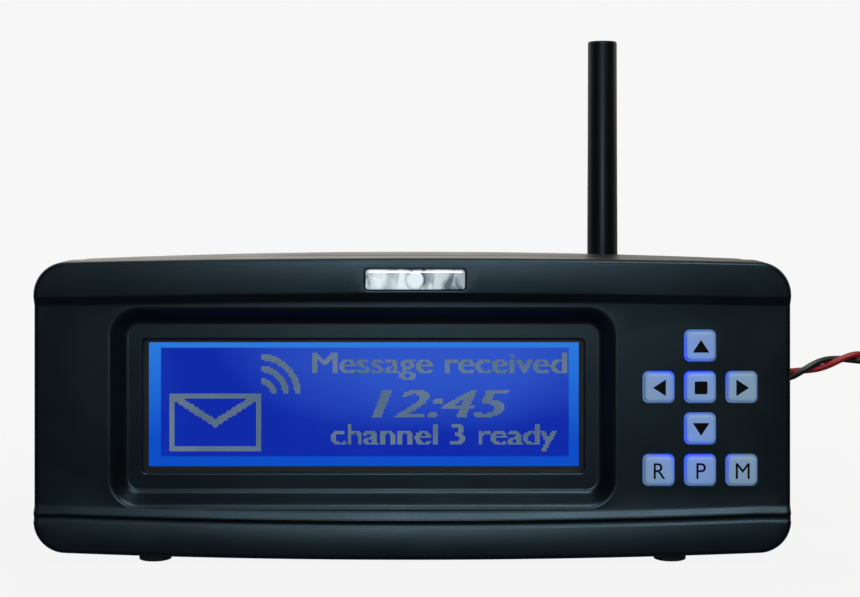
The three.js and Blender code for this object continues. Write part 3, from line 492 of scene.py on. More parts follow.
WIRE_START = math.radians(70)
WIRE_SIDES = 8
tubes = tube_tree()
strands = []
for label, finish, turn in (("red", "red_vinyl", 0.0), ("black", "black_vinyl", math.pi)):
    points = [place(*p) for p in strand_line(centreline, WIRE_START + turn)]
    seed = seed_mesh(label, points, [(i, i + 1) for i in range(len(points) - 1)])
    strands.append(grown(seed, tubes, "wire_" + label, Radius=WIRE_RADIUS * MM, Sides=WIRE_SIDES,
                         Finish=finishes[finish][0]))
bpy.context.view_layer.objects.active = strands[0]
for strand in strands:
    strand.select_set(True)
bpy.ops.object.join()
supply_wires = strands[0]
supply_wires.name = "supply_wires"
tidy_mesh(supply_wires)
bpy.ops.object.select_all(action="DESELECT")
print("supply wires:", len(supply_wires.data.polygons), "faces")

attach(supply_wires, "root")
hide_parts("power_lead", "power_coil", "power_tail")

# %% [markdown]
# ## Case
# The bezel is one moulding: two flat bands with a sunk face between them, a narrow groove
# under it, a soft-edged recess round the display, and openings for the window, the
# indicator and the keys. It could be cut from a block with booleans, but the soft slopes
# would need fillets afterwards. Here the front is a height map instead: contour lines
# follow every slope, a Delaunay triangulation fills the space between them, and one
# function gives each point its depth. Solidify then gives the skin its wall.

# %% Case outline
CASE_SIDE = 116.0
CORNER = 10.0
EDGE_ROUND = 1.5
SEAM_Y = 16.0
TOP_Z, BOTTOM_Z = 93.9, 1.5
CROWN_END = CASE_SIDE - CORNER
SIDE_RUN = 12


def crowned(x, middle, fall):
    """A long edge is crowned: it falls by `fall` at the start of its corners."""
    return middle - fall * (min(abs(x), CROWN_END) / CROWN_END) ** 2


class Outline:
    """A rounded rectangle with crowned long edges, drawn at any inset."""

    def __init__(self, side, corner, top, bottom, top_fall, bottom_fall):
        self.side, self.corner, self.top, self.bottom = side, corner, top, bottom
        self.top_fall, self.bottom_fall = top_fall, bottom_fall

    def top_at(self, x):
        return crowned(x, self.top, self.top_fall)

    def bottom_at(self, x):
        return crowned(x, self.bottom, -self.bottom_fall)

    def inside(self, x, z):
        """How far a point lies inside the outline."""
        to_side = self.side - abs(x)
        edge = min(self.top_at(x) - z, z - self.bottom_at(x))
        corner = self.corner
        if to_side < corner and edge < corner:
            return corner - math.hypot(corner - to_side, corner - edge)
        return min(to_side, edge)

    def loop(self, inset, arc=14, run=48):
        """Points round the outline, anticlockwise from the lower right corner."""
        corner = self.corner
        reach = self.side - corner
        points = []
        for side_x, side_z, start in ((1, -1, -90), (1, 1, 0), (-1, 1, 90), (-1, -1, 180)):
            end_z = self.top_at(reach) if side_z > 0 else self.bottom_at(reach)
            middle = (side_x * reach, end_z - side_z * corner)
            for k in range(arc + 1):
                angle = math.radians(start + 90 * k / arc)
                radius = corner - inset
                points.append((middle[0] + radius * math.cos(angle),
                               middle[1] + radius * math.sin(angle)))
            if side_x == side_z:
                for k in range(1, run):
                    x = side_x * reach * (1 - 2 * k / run)
                    edge = self.top_at(x) - inset if side_z > 0 else self.bottom_at(x) + inset
                    points.append((x, edge))
            else:
                a = points[-1]
                far = self.top_at(reach) - corner if side_z < 0 else self.bottom_at(reach) + corner
                points += [(a[0], a[1] + (far - a[1]) * k / SIDE_RUN) for k in range(1, SIDE_RUN)]
        return points


BEZEL_TOP_FALL, REAR_TOP_FALL, BOTTOM_FALL = 1.2, 2.2, 2.1
bezel_outline = Outline(CASE_SIDE, CORNER, TOP_Z, BOTTOM_Z, BEZEL_TOP_FALL, BOTTOM_FALL)
print("bezel", 2 * CASE_SIDE, "x", TOP_Z - BOTTOM_Z, "mm")

# %% Depth of the bezel's front
SINK = 1.6
DISPLAY_X, DISPLAY_Z = -15.2, 47.9
LEDGE_HALF = (72.7, 25.7)
LEDGE_CORNER = 3.8
LEDGE_Y = 6.1
WALL_RUN = 5.6
WINDOW_HALF = (68.2, 20.65)
WINDOW_CORNER = 1.3
TOP_STEP = (10.4, 13.6)
BOTTOM_STEP = (12.1, 14.7)
GROOVE = (9.4, 10.5, 11.2, 12.1)
GROOVE_DEEP = 0.7
LIP_DEEP = 0.12
RECESS_START = 0.3
OPENING_EASE, OPENING_DEEP = 0.3, 0.25
WINDOW_EASE, WINDOW_DEEP = 0.45, 0.35


def rounded_distance(x, z, half, corner):
    """Distance outside a rounded rectangle round the origin, negative inside."""
    a, b = abs(x) - (half[0] - corner), abs(z) - (half[1] - corner)
    return math.hypot(max(a, 0), max(b, 0)) + min(max(a, b), 0) - corner


def soft(t, hardness=0.22):
    """A straight slope from 0 to 1 with rounded ends."""
    t = min(max(t, 0.0), 1.0)
    r = hardness
    rise = 1 / (1 - r)
    if t < r:
        return rise * t * t / (2 * r)
    if t > 1 - r:
        return 1 - rise * (1 - t) ** 2 / (2 * r)
    return rise * (t - r / 2)


def edge_fall(inside):
    """Depth of the rounded outer edge at a distance inside the outline."""
    away = max(EDGE_ROUND - inside, 0.0)
    return EDGE_ROUND - math.sqrt(max(EDGE_ROUND ** 2 - away ** 2, 0.0))


def bands_depth(below_top, above_bottom):
    sunk = SINK * soft((below_top - TOP_STEP[0]) / (TOP_STEP[1] - TOP_STEP[0]))
    low = soft((above_bottom - BOTTOM_STEP[0]) / (BOTTOM_STEP[1] - BOTTOM_STEP[0]))
    lower = LIP_DEEP + (SINK - LIP_DEEP) * low
    if above_bottom < BOTTOM_STEP[0]:
        a, b, c, d = GROOVE
        lower = GROOVE_DEEP * soft((above_bottom - a) / (b - a), 0.35)
        if above_bottom > c:
            lower -= (GROOVE_DEEP - LIP_DEEP) * soft((above_bottom - c) / (d - c), 0.35)
    return min(sunk, lower)


def window_lip(x, z):
    away = rounded_distance(x, z, WINDOW_HALF, WINDOW_CORNER)
    return WINDOW_DEEP * (1 - min(away, WINDOW_EASE) / WINDOW_EASE) ** 2


def bezel_depth(x, z):
    inside = bezel_outline.inside(x, z)
    depth = bands_depth(bezel_outline.top_at(x) - z, z - bezel_outline.bottom_at(x))
    out = rounded_distance(x - DISPLAY_X, z - DISPLAY_Z, LEDGE_HALF, LEDGE_CORNER)
    recess = soft(1 - (out + RECESS_START) / WALL_RUN, 0.3)
    depth += (LEDGE_Y - SINK) * recess
    if out < 0:
        depth += window_lip(x - DISPLAY_X, z - DISPLAY_Z)
    for hole in HOLES:
        away = rounded_distance(x - hole[0], z - hole[1], hole[2], hole[3])
        depth += OPENING_DEEP * (1 - min(max(away, 0.0), OPENING_EASE) / OPENING_EASE) ** 2
    return depth + edge_fall(inside)


# %% Openings in the bezel
KEY_X, KEY_Z, KEY_PITCH, KEY_SIZE, KEY_CORNER = 88.1, 54.4, 12.7, 9.2, 1.5
KEYS = {"up": (0, 1), "left": (-1, 0), "centre": (0, 0), "right": (1, 0),
        "down": (0, -1), "r": (-1, -2), "p": (0, -2), "m": (1, -2)}
GAP = 0.3
INDICATOR = (0.9, 87.3, 30.4, 6.0, 0.9)


def key_centre(name):
    column, row = KEYS[name]
    return KEY_X + column * KEY_PITCH, KEY_Z + row * KEY_PITCH


HOLES = [(*key_centre(n), (KEY_SIZE / 2 + GAP,) * 2, KEY_CORNER + GAP) for n in KEYS]
HOLES.append((INDICATOR[0], INDICATOR[1], (INDICATOR[2] / 2 + GAP, INDICATOR[3] / 2 + GAP),
              INDICATOR[4] + GAP))


def rounded_loop(x, z, half, corner, arc=6, run=1):
    """A rounded rectangle, anticlockwise, with `run` steps on each straight side."""
    points = []
    quarter = ((1, -1, -90), (1, 1, 0), (-1, 1, 90), (-1, -1, 180))
    for sx, sz, start in quarter:
        cx, cz = x + sx * (half[0] - corner), z + sz * (half[1] - corner)
        for k in range(arc + 1):
            angle = math.radians(start + 90 * k / arc)
            points.append((cx + corner * math.cos(angle), cz + corner * math.sin(angle)))
    whole = []
    for k, p in enumerate(points):
        q = points[(k + 1) % len(points)]
        steps = run if (k + 1) % (arc + 1) == 0 else 1
        whole += [(p[0] + (q[0] - p[0]) * i / steps, p[1] + (q[1] - p[1]) * i / steps)
                  for i in range(steps)]
    return whole


print(len(HOLES), "openings besides the window")

# %% Contours and triangulation
def contour_net(loops, rows, keep):
    """Triangles between closed loops and open rows, where keep(x, z) is true."""
    points, edges = [], []
    for loop, closed in [(l, True) for l in loops] + [(r, False) for r in rows]:
        start = len(points)
        points += loop
        count = len(loop)
        last = count if closed else count - 1
        edges += [(start + i, start + (i + 1) % count) for i in range(last)]
    made = delaunay_2d_cdt([Vector(p) for p in points], edges, [], 0, 1e-4)
    flat, triangles = made[0], made[2]
    kept = []
    for face in triangles:
        centre = sum((flat[i] for i in face), Vector((0, 0))) / len(face)
        if keep(centre.x, centre.y):
            kept.append(tuple(face))
    return flat, kept


EDGE_STEPS = (0, 0.05, 0.17, 0.36, 0.62, 0.95, 1.3, 1.6)
SLOPE_STEPS = (0, 0.06, 0.12, 0.18, 0.24, 0.3, 0.42, 0.58, 0.7, 0.76, 0.82, 0.88, 0.94, 1)


def bezel_net():
    loops = [bezel_outline.loop(d) for d in EDGE_STEPS]
    low = -RECESS_START
    steps = [low - 0.25] + [low + WALL_RUN * t for t in SLOPE_STEPS]
    for e in steps + [low + WALL_RUN + 0.25]:
        half = (LEDGE_HALF[0] + e, LEDGE_HALF[1] + e)
        loops.append(rounded_loop(DISPLAY_X, DISPLAY_Z, half, LEDGE_CORNER + e, 12, 30))
    for e in (0, 0.12, 0.28, 0.45, 0.6):
        half = (WINDOW_HALF[0] + e, WINDOW_HALF[1] + e)
        loops.append(rounded_loop(DISPLAY_X, DISPLAY_Z, half, WINDOW_CORNER + e, 6, 12))
    for x, z, half, corner in HOLES:
        for e in (0, 0.1, 0.2, 0.3, 0.42):
            loops.append(rounded_loop(x, z, (half[0] + e, half[1] + e), corner + e, 6, 2))
    rows = []
    across = [CASE_SIDE * 1.01 * (k / 40 - 1) for k in range(81)]
    for off in np.linspace(TOP_STEP[0], TOP_STEP[1], 11):
        rows.append([(x, bezel_outline.top_at(x) - off) for x in across])
    low_rows = {*np.linspace(*BOTTOM_STEP, 10), *np.linspace(*GROOVE[:2], 5), *np.linspace(*GROOVE[2:], 5)}
    for off in sorted(low_rows):
        rows.append([(x, bezel_outline.bottom_at(x) + off) for x in across])

    def keep(x, z):
        if bezel_outline.inside(x, z) < 0:
            return False
        if rounded_distance(x - DISPLAY_X, z - DISPLAY_Z, WINDOW_HALF, WINDOW_CORNER) < 0:
            return False
        return all(rounded_distance(x - hx, z - hz, half, corner) > 0
                   for hx, hz, half, corner in HOLES)

    return contour_net(loops, rows, keep)


# %% The bezel
def skin_with_sides(flat, triangles, depth, outline, walls, forward):
    """The height map as a skin, with its outer border carried on through the walls,
    which are (inset, y) steps."""
    points = [place(p.x, depth(p.x, p.y), p.y) for p in flat]
    faces = [face if forward else tuple(reversed(face)) for face in triangles]
    seen = {}
    for face in triangles:
        for a, b in zip(face, face[1:] + face[:1]):
            seen[(a, b)] = seen.get((b, a), 0) + 1
    on_edge = 0.02
    border = [(a, b) for (a, b) in seen if (b, a) not in seen
              and outline.inside(*flat[a]) < on_edge and outline.inside(*flat[b]) < on_edge]
    follow = dict(border)
    start = border[0][0]
    ring = [start]
    while follow[ring[-1]] != start:
        ring.append(follow[ring[-1]])
    last = ring
    for inset, y in walls:
        fresh = []
        for i in ring:
            x, z = flat[i]
            normal = outline_normal(outline, x, z)
            fresh.append(len(points))
            points.append(place(x - normal[0] * inset, y, z - normal[1] * inset))
        for k in range(len(ring)):
            j = (k + 1) % len(ring)
            quad = (last[j], last[k], fresh[k], fresh[j])
            faces.append(quad if forward else tuple(reversed(quad)))
        last = fresh
    return points, faces


def outline_normal(outline, x, z):
    step = 0.01
    gx = outline.inside(x - step, z) - outline.inside(x + step, z)
    gz = outline.inside(x, z - step) - outline.inside(x, z + step)
    size = math.hypot(gx, gz) or 1.0
    return gx / size, gz / size


def thickened(piece, wall):
    """Solidify applied: the wall grows inwards from the skin."""
    modifier = piece.modifiers.new("wall", "SOLIDIFY")
    modifier.thickness = wall * MM
    modifier.offset = -1
    graph = bpy.context.evaluated_depsgraph_get()
    mesh = bpy.data.meshes.new_from_object(piece.evaluated_get(graph))
    piece.modifiers.clear()
    piece.data = mesh
    return piece


BEZEL_WALL, REAR_WALL = 2.2, 2.5
bezel_flat, bezel_faces = bezel_net()
bezel_walls = [(0, 8), (0, SEAM_Y - 0.25), (0.07, SEAM_Y - 0.07), (0.25, SEAM_Y),
               (3.6, SEAM_Y), (3.8, SEAM_Y + 0.2), (3.8, SEAM_Y + 4)]
points, faces = skin_with_sides(bezel_flat, bezel_faces, bezel_depth, bezel_outline,
                                bezel_walls, True)
bezel = mesh_piece("bezel_moulding", points, faces, "case_black", 48, outward=False)
thickened(bezel, BEZEL_WALL)
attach(bezel, "root")
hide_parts("front_bezel")
print("bezel skin:", len(bezel.data.polygons), "faces")

# %% [markdown]
# The rear shell is a deep tray with a softly rounded back edge. Its skin is made like the
# bezel's, with openings for the four case screws and the antenna jack; the screw wells
# are short tubes inside. A refined copy of the CAD part would also do, but its faceted
# corners show on the thin strip of the top that the front view catches.

# %% The rear shell
REAR_BACK_Y = 45.0
rear_outline = Outline(CASE_SIDE, CORNER, TOP_Z, BOTTOM_Z, REAR_TOP_FALL, BOTTOM_FALL)
SCREWS = ["case_screw_1", "case_screw_2", "case_screw_3", "case_screw_4"]
screw_middles = [(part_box(screw)[0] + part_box(screw)[1]) / 2 / MM for screw in SCREWS]
SCREW_HOLES = [(middle.x, middle.z) for middle in screw_middles]
SCREW_WELL = 3.1
JACK = (64.0, 58.0, 3.5)


def rear_depth(x, z):
    return REAR_BACK_Y - edge_fall(rear_outline.inside(x, z))


def ring_loop(x, z, radius, count=28):
    turns = [2 * math.pi * k / count for k in range(count)]
    return [(x + radius * math.cos(turn), z + radius * math.sin(turn)) for turn in turns]


def rear_net():
    loops = [rear_outline.loop(d) for d in EDGE_STEPS]
    for x, z, radius in [(x, z, SCREW_WELL) for x, z in SCREW_HOLES] + [JACK]:
        loops += [ring_loop(x, z, radius + e) for e in (0, 0.3, 0.5)]

    def keep(x, z):
        if rear_outline.inside(x, z) < 0 or math.hypot(x - JACK[0], z - JACK[1]) < JACK[2]:
            return False
        return all(math.hypot(x - sx, z - sz) > SCREW_WELL for sx, sz in SCREW_HOLES)

    return contour_net(loops, [], keep)


rear_flat, rear_faces = rear_net()
SEAM_GAP = 0.3
rear_front = SEAM_Y + SEAM_GAP
rear_walls = [(0, 30), (0, rear_front + 0.25), (0.1, rear_front)]
points, faces = skin_with_sides(rear_flat, rear_faces, rear_depth, rear_outline, rear_walls, False)
rear = mesh_piece("rear_moulding", points, faces, "case_black", 48, outward=False)
thickened(rear, REAR_WALL)
print("rear skin:", len(rear.data.polygons), "faces")

# %% Screw wells in the rear shell
WELL_WALL = 1.2
WELL_HOLE = 0.4
WELL_FRONT_Y = 22.0


def turned_loops(profile, centre, axis, sides=32):
    """Loops of a turned form: profile is (radius, along) steps; axis is y or z."""
    loops = []
    for radius, along in profile:
        loop = []
        for k in range(sides):
            angle = 2 * math.pi * k / sides
            u, v = radius * math.cos(angle), radius * math.sin(angle)
            x, y, z = centre
            loop.append(place(x + u, along, z + v) if axis == "y" else place(x + u, y + v, along))
        loops.append(loop)
    return loops


def well(x, z):
    inner, outer = SCREW_WELL, SCREW_WELL + WELL_WALL
    back = REAR_BACK_Y - 1.0
    profile = [(inner, back), (inner, WELL_FRONT_Y + 1), (WELL_HOLE, WELL_FRONT_Y + 1),
               (WELL_HOLE, WELL_FRONT_Y), (outer, WELL_FRONT_Y), (outer, back)]
    return loft(turned_loops(profile, (x, 0, z), "y", 24), False, False)


well_points, well_faces = join_parts([well(x, z) for x, z in SCREW_HOLES])
wells = mesh_piece("screw_wells", well_points, well_faces, "case_black", 40)
for piece in (rear, wells):
    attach(piece, "root")
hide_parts("rear_shell")
print("case is whole")

# %% [markdown]
# ## Small hardware from the CAD
# Screws, feet, the jack and the antenna's foot already have the right shape. Each is
# copied, its loose triangles are merged, its sharp edges get a fine bevel that catches
# the light, and the copy stands in for the CAD part.

# %% Refined copies
def refined(node, name, finish, bevel=0.2, body="root", angle=35):
    """A copy of a CAD part with merged corners and bevelled edges."""
    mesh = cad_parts[node].data.copy()
    mesh.name = name
    piece = bpy.data.objects.new(name, mesh)
    bpy.context.scene.collection.objects.link(piece)
    form = bmesh.new()
    form.from_mesh(mesh)
    bmesh.ops.remove_doubles(form, verts=form.verts, dist=1e-6)
    bmesh.ops.dissolve_limit(form, angle_limit=math.radians(1), verts=form.verts, edges=form.edges)
    sharp = [e for e in form.edges if e.is_manifold and e.calc_face_angle() > math.radians(angle)]
    bmesh.ops.bevel(form, geom=sharp, offset=bevel * MM, segments=2, profile=0.5,
                    affect="EDGES", clamp_overlap=True)
    bmesh.ops.recalc_face_normals(form, faces=form.faces)
    form.to_mesh(mesh)
    form.free()
    mesh.materials.clear()
    mesh.materials.append(finishes[finish][0])
    mesh.shade_smooth()
    mesh.set_sharp_from_angle(angle=math.radians(40))
    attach(piece, body)
    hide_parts(node)
    return piece


for corner in ("front_left", "front_right", "rear_left", "rear_right"):
    refined("foot_" + corner, "foot_pad_" + corner, "foot_rubber", 0.3)
refined("jack_nut", "hexagon_nut", "nickel_brass", 0.25)
refined("antenna_jack", "threaded_jack", "nickel_brass", 0.15)
refined("antenna_coupler", "coupler_fork", "case_black", 0.3, "antenna_swivel")
refined("antenna_pin", "hinge_pin", "screw_steel", 0.15, "antenna_swivel")
grommet = refined("power_grommet", "lead_grommet", "grommet_rubber", 0.25)
plug = refined("power_plug", "lead_plug", "plug_nylon", 0.2)
tie = refined("coil_tie", "lead_tie", "tie_nylon", 0.2)
print("hardware refined")

# %% [markdown]
# The four case screws repeat one shape, so Geometry Nodes set one screw at the four
# places: a pan head with a cross recess, over its shank.

# %% Case screws
SCREW_HEAD_BACK = (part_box("case_screw_1")[1].y - FRONT_Y) / MM
SCREW_TIP = (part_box("case_screw_1")[0].y - FRONT_Y) / MM


def cross_screw():
    """One screw round the origin, its head facing back."""
    arm, slot, head = 1.5, 0.45, 2.8
    deep = 1.0
    outline = []
    for quarter in range(4):
        turn = math.radians(90 * quarter)
        for u, v in ((arm, -slot), (arm, slot), (slot, slot)):
            outline.append((u * math.cos(turn) - v * math.sin(turn),
                            u * math.sin(turn) + v * math.cos(turn)))
    outline = outline[-1:] + outline[:-1]
    rim = []
    for u, v in outline:
        size = math.hypot(u, v)
        rim.append((u / size, v / size))
    tip = SCREW_TIP - SCREW_HEAD_BACK
    steps = [(outline, 0.55, -deep), (outline, 1, 0), (rim, 2.0, -0.02), (rim, 2.55, -0.2),
             (rim, head, -0.6), (rim, head, -1.7), (rim, 1.5, -1.7), (rim, 1.5, tip + 1),
             (rim, 0.7, tip)]
    return loft([[Vector((u * size, y, v * size)) * MM for u, v in shape]
                 for shape, size, y in steps])


def scatter_tree():
    tree, source, result = node_tree("one_at_each_place", [
        ("Part", "NodeSocketObject", None), ("Finish", "NodeSocketMaterial", None)])
    part = add(tree, "GeometryNodeObjectInfo")
    tree.links.new(source.outputs["Part"], part.inputs[0])
    points = add(tree, "GeometryNodeMeshToPoints", i0=source.outputs["Geometry"])
    copies = add(tree, "GeometryNodeInstanceOnPoints", Points=points.outputs[0])
    tree.links.new(part.outputs["Geometry"], copies.inputs["Instance"])
    return finished_tree(tree, source, copies.outputs[0], result)


one_each = scatter_tree()
points, faces = cross_screw()
pattern = mesh_piece("screw_pattern", points, faces, "screw_steel", 35)
seed = seed_mesh("screw_places", [place(x, SCREW_HEAD_BACK, z) for x, z in SCREW_HOLES])
screws = grown(seed, one_each, "case_screws", Part=pattern, Finish=finishes["screw_steel"][0])
bpy.data.objects.remove(pattern)
tidy_mesh(screws, 35)
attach(screws, "root")
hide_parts(*SCREWS)
print("case screws:", len(screws.data.polygons), "faces")

# %% [markdown]
# ## Antenna
# The whip is a rubber sleeve, slightly tapered, with a rounded tip and a thicker foot
# with three grip rings where it is held to be turned. It narrows to a flat tongue that
# sits in the coupler's fork. The sleeve is turned as one profile, and the tongue is a
# plate with a round end; the pin's hole in it is never seen, so it is left closed.

# %% The whip
WHIP_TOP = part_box("antenna_whip")[1].z / MM
WHIP_FOOT = 63.7
TIP_RADIUS = 4.9
TIP_ROUND = 0.8
TONGUE_RADIUS = 4.7
PIVOT_Z = 58.0
GRIP_STEPS = ((5.06, -0.7), (5.0, -0.5), (4.7, -0.35), (4.7, 0.35), (5.0, 0.5), (5.06, 0.7))


def whip_profile():
    steps = [(0.01, WHIP_FOOT), (4.2, WHIP_FOOT), (4.7, WHIP_FOOT + 0.25), (5.0, WHIP_FOOT + 0.9)]
    for ring in range(3):
        z = WHIP_FOOT + 4 + 2.4 * ring
        steps += [(radius, z + up) for radius, up in GRIP_STEPS]
    steps += [(5.1, 78), (5.1, 100), (4.98, 130), (TIP_RADIUS, WHIP_TOP - TIP_ROUND)]
    for a in (15, 30, 45, 60, 75, 90):
        turn = math.radians(a)
        steps.append((TIP_RADIUS - TIP_ROUND * (1 - math.cos(turn)),
                      WHIP_TOP - TIP_ROUND * (1 - math.sin(turn))))
    return steps + [(1.2, WHIP_TOP), (0.01, WHIP_TOP)]


def tongue():
    """The flat tongue: half a disc round the pin, carried up into the sleeve."""
    outer = [(TONGUE_RADIUS * math.sin(a), PIVOT_Z - TONGUE_RADIUS * math.cos(a))
             for a in np.linspace(-math.pi / 2, math.pi / 2, 17)]
    outer += [(3.9, WHIP_FOOT + 0.5), (-3.9, WHIP_FOOT + 0.5)]
    loops = []
    for x, inset in ((-2.0, 0.3), (-1.75, 0.0), (1.75, 0.0), (2.0, 0.3)):
        loop = []
        for v, z in outer:
            size = math.hypot(v, z - PIVOT_Z)
            keep = (size - inset) / size
            loop.append(place(WHIP_X + x, WHIP_Y + v * keep, PIVOT_Z + (z - PIVOT_Z) * keep))
        loops.append(loop)
    return loft(loops)


sleeve_part = loft(turned_loops(whip_profile(), (WHIP_X, WHIP_Y, 0), "z", 48))
points, faces = join_parts([sleeve_part, tongue()])
whip = mesh_piece("antenna_sleeve", points, faces, "antenna_rubber", 50)
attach(whip, "antenna_whip")
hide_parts("antenna_whip")
print("whip top at", WHIP_TOP, "mm")

# %% [markdown]
# ## Display
# A blue transmissive dot display behind a clear window. Its glass shows a lit azure
# border round a deeper blue active field, 240 by 64 dots. The border and the field are
# one emission pattern on the glass, measured from its centre, because both belong to one
# flat sheet. The lit dots stand on it as real little plates, so their edges stay crisp.

# %% Display glass finish
ACTIVE_HALF = (63.6, 16.95)
ACTIVE_SHIFT = (0.3, 0.6)
DOT_PITCH = 0.53


def display_finish():
    mat, tree, shader = new_finish("display_blue", "blue_display")
    centre = place(DISPLAY_X + ACTIVE_SHIFT[0], 0, DISPLAY_Z + ACTIVE_SHIFT[1])
    centred = add(tree, "ShaderNodeMapping", Vector=object_place(tree))
    centred.inputs["Location"].default_value = (-centre.x / MM, 0, -centre.z / MM)
    centred.inputs["Scale"].default_value = (1 / MM, 1 / MM, 1 / MM)
    split = add(tree, "ShaderNodeSeparateXYZ", i0=centred.outputs[0])
    x, z = split.outputs["X"], split.outputs["Z"]
    out_x = maths(tree, "SUBTRACT", maths(tree, "ABSOLUTE", x), ACTIVE_HALF[0])
    out_z = maths(tree, "SUBTRACT", maths(tree, "ABSOLUTE", z), ACTIVE_HALF[1])
    border = remap(tree, maths(tree, "MAXIMUM", out_x, out_z), -0.15, 0.15)
    # The field is lighter round a spot up and to the right of its centre: a painted reflection haze on the
    # glass. The rows add faint dot rows, and the cloud adds a random unevenness.
    painted_haze_x = maths(tree, "DIVIDE", maths(tree, "SUBTRACT", x, 22.0), 62.0)
    painted_haze_z = maths(tree, "DIVIDE", maths(tree, "SUBTRACT", z, 17.0), 24.0)
    painted_haze_spot = maths(tree, "ADD", maths(tree, "MULTIPLY", painted_haze_x, painted_haze_x),
                       maths(tree, "MULTIPLY", painted_haze_z, painted_haze_z))
    glow = remap(tree, painted_haze_spot, 1.3, 0.0)
    rows = maths(tree, "SINE", maths(tree, "MULTIPLY", z, 2 * math.pi / DOT_PITCH))
    cloud = add(tree, "ShaderNodeTexNoise", Vector=centred.outputs[0], Scale=0.03, Detail=2.0)
    glow = maths(tree, "ADD", glow, maths(tree, "MULTIPLY", rows, 0.05))
    glow = maths(tree, "ADD", glow, remap(tree, cloud.outputs[0], 0.3, 0.7, -0.1, 0.14))
    field = mix_colour(tree, glow, (0.0006, 0.020, 0.42, 1), (0.024, 0.092, 0.62, 1))
    # The border is lighter towards the top.
    top = remap(tree, z, -12.0, 18.0)
    edge = mix_colour(tree, top, (0.0, 0.078, 0.62, 1), (0.02, 0.21, 0.80, 1))
    shown = mix_colour(tree, border, field, edge)
    tree.links.new(shown, shader.inputs["Emission Color"])
    shader.inputs["Emission Strength"].default_value = 1.0
    shader.inputs["Base Color"].default_value = (0.002, 0.004, 0.02, 1)
    shader.inputs["Roughness"].default_value = 0.35
    shader.inputs["Specular IOR Level"].default_value = 0.08


display_finish()

# %% Lit dots finish
def dot_finish():
    mat, tree, shader = new_finish("display_dot", "blue_display")
    cloud = add(tree, "ShaderNodeTexNoise", Vector=object_place(tree), Scale=60.0, Detail=2.0)
    tone = mix_colour(tree, remap(tree, cloud.outputs[0], 0.35, 0.65),
                      (0.10, 0.16, 0.20, 1), (0.15, 0.215, 0.255, 1))
    tree.links.new(tone, shader.inputs["Emission Color"])
    shader.inputs["Emission Strength"].default_value = 1.0
    shader.inputs["Base Color"].default_value = (0.02, 0.03, 0.04, 1)
    shader.inputs["Roughness"].default_value = 0.5
    shader.inputs["Specular IOR Level"].default_value = 0.08


dot_finish()
print("display finishes ready")

# %% [markdown]
# What the display shows is generic: an envelope with radio arcs, and three lines of
# text. Blender's own font is turned into a mesh, and a ray at each dot's centre asks
# whether a letter covers it, which gives the stepped look of a dot display.

# %% Which dots are lit
COLUMNS, ROWS = 240, 64


def lettering(words, slant=0.0):
    """Words in Blender's own font, as a flat mesh."""
    curve = bpy.data.curves.new(words, "FONT")
    curve.body = words
    curve.shear = slant
    writing = bpy.data.objects.new(words, curve)
    bpy.context.scene.collection.objects.link(writing)
    graph = bpy.context.evaluated_depsgraph_get()
    mesh = bpy.data.meshes.new_from_object(writing.evaluated_get(graph))
    bpy.data.objects.remove(writing)
    return mesh


def text_dots(words, columns, rows, slant=0.0):
    """The dots covered by words stretched to fill columns (a, b) and rows (a, b). Every
    dot also lights its right neighbour, which makes the strokes bold."""
    mesh = lettering(words, slant)
    corners = np.array([v.co for v in mesh.vertices])
    low, high = corners.min(0), corners.max(0)
    tree = BVHTree.FromPolygons([tuple(c) for c in corners], [tuple(p.vertices) for p in mesh.polygons])
    found = set()
    for column in range(*columns):
        for row in range(*rows):
            u = low[0] + (column + 0.5 - columns[0]) / (columns[1] - columns[0]) * (high[0] - low[0])
            v = high[1] - (row + 0.5 - rows[0]) / (rows[1] - rows[0]) * (high[1] - low[1])
            if tree.ray_cast(Vector((u, v, 1)), Vector((0, 0, -1)))[0] is not None:
                found |= {(column, row), (column + 1, row)}
    return found


def envelope_dots():
    """An envelope with a folded flap, and three radio arcs over its corner."""
    found = set()
    left, right, top, bottom, edge = 5, 58, 27, 60, 3
    middle = (left + right) / 2
    for column in range(0, 86):
        for row in range(2, 62):
            inside = left <= column <= right and top <= row <= bottom
            rim = inside and (column < left + edge or column > right - edge
                              or row < top + edge or row > bottom - edge)
            flap = top + 17 * (1 - abs(column - middle) / (middle - left))
            if rim or (inside and abs(row - flap) < 2.4):
                found.add((column, row))
            away = math.hypot(column - 58, row - 27)
            if column > 58 and row < 27 and min(abs(away - r) for r in (8, 15, 22)) < 1.8:
                found.add((column, row))
    return found


lit = envelope_dots()
lit |= text_dots("Message received", (89, 238), (3, 19))
clock = text_dots("12:45", (124, 203), (25, 41), 0.25)
lit |= clock | {(column + 1, row) for column, row in clock}
lit |= text_dots("channel 3 ready", (100, 232), (45, 61))
print(len(lit), "dots lit of", COLUMNS * ROWS)

# %% The lit dots as little plates
def dots_tree():
    tree, source, result = node_tree("plate_at_each_dot", [
        ("Dot Width", "NodeSocketFloat", 0.0005), ("Dot Thickness", "NodeSocketFloat", 0.00005),
        ("Finish", "NodeSocketMaterial", None)])
    size = add(tree, "ShaderNodeCombineXYZ", i0=source.outputs["Dot Width"],
               i1=source.outputs["Dot Thickness"], i2=source.outputs["Dot Width"])
    plate = add(tree, "GeometryNodeMeshCube", Size=size.outputs[0])
    points = add(tree, "GeometryNodeMeshToPoints", i0=source.outputs["Geometry"])
    copies = add(tree, "GeometryNodeInstanceOnPoints", Points=points.outputs[0])
    tree.links.new(plate.outputs["Mesh"], copies.inputs["Instance"])
    return finished_tree(tree, source, copies.outputs[0], result)


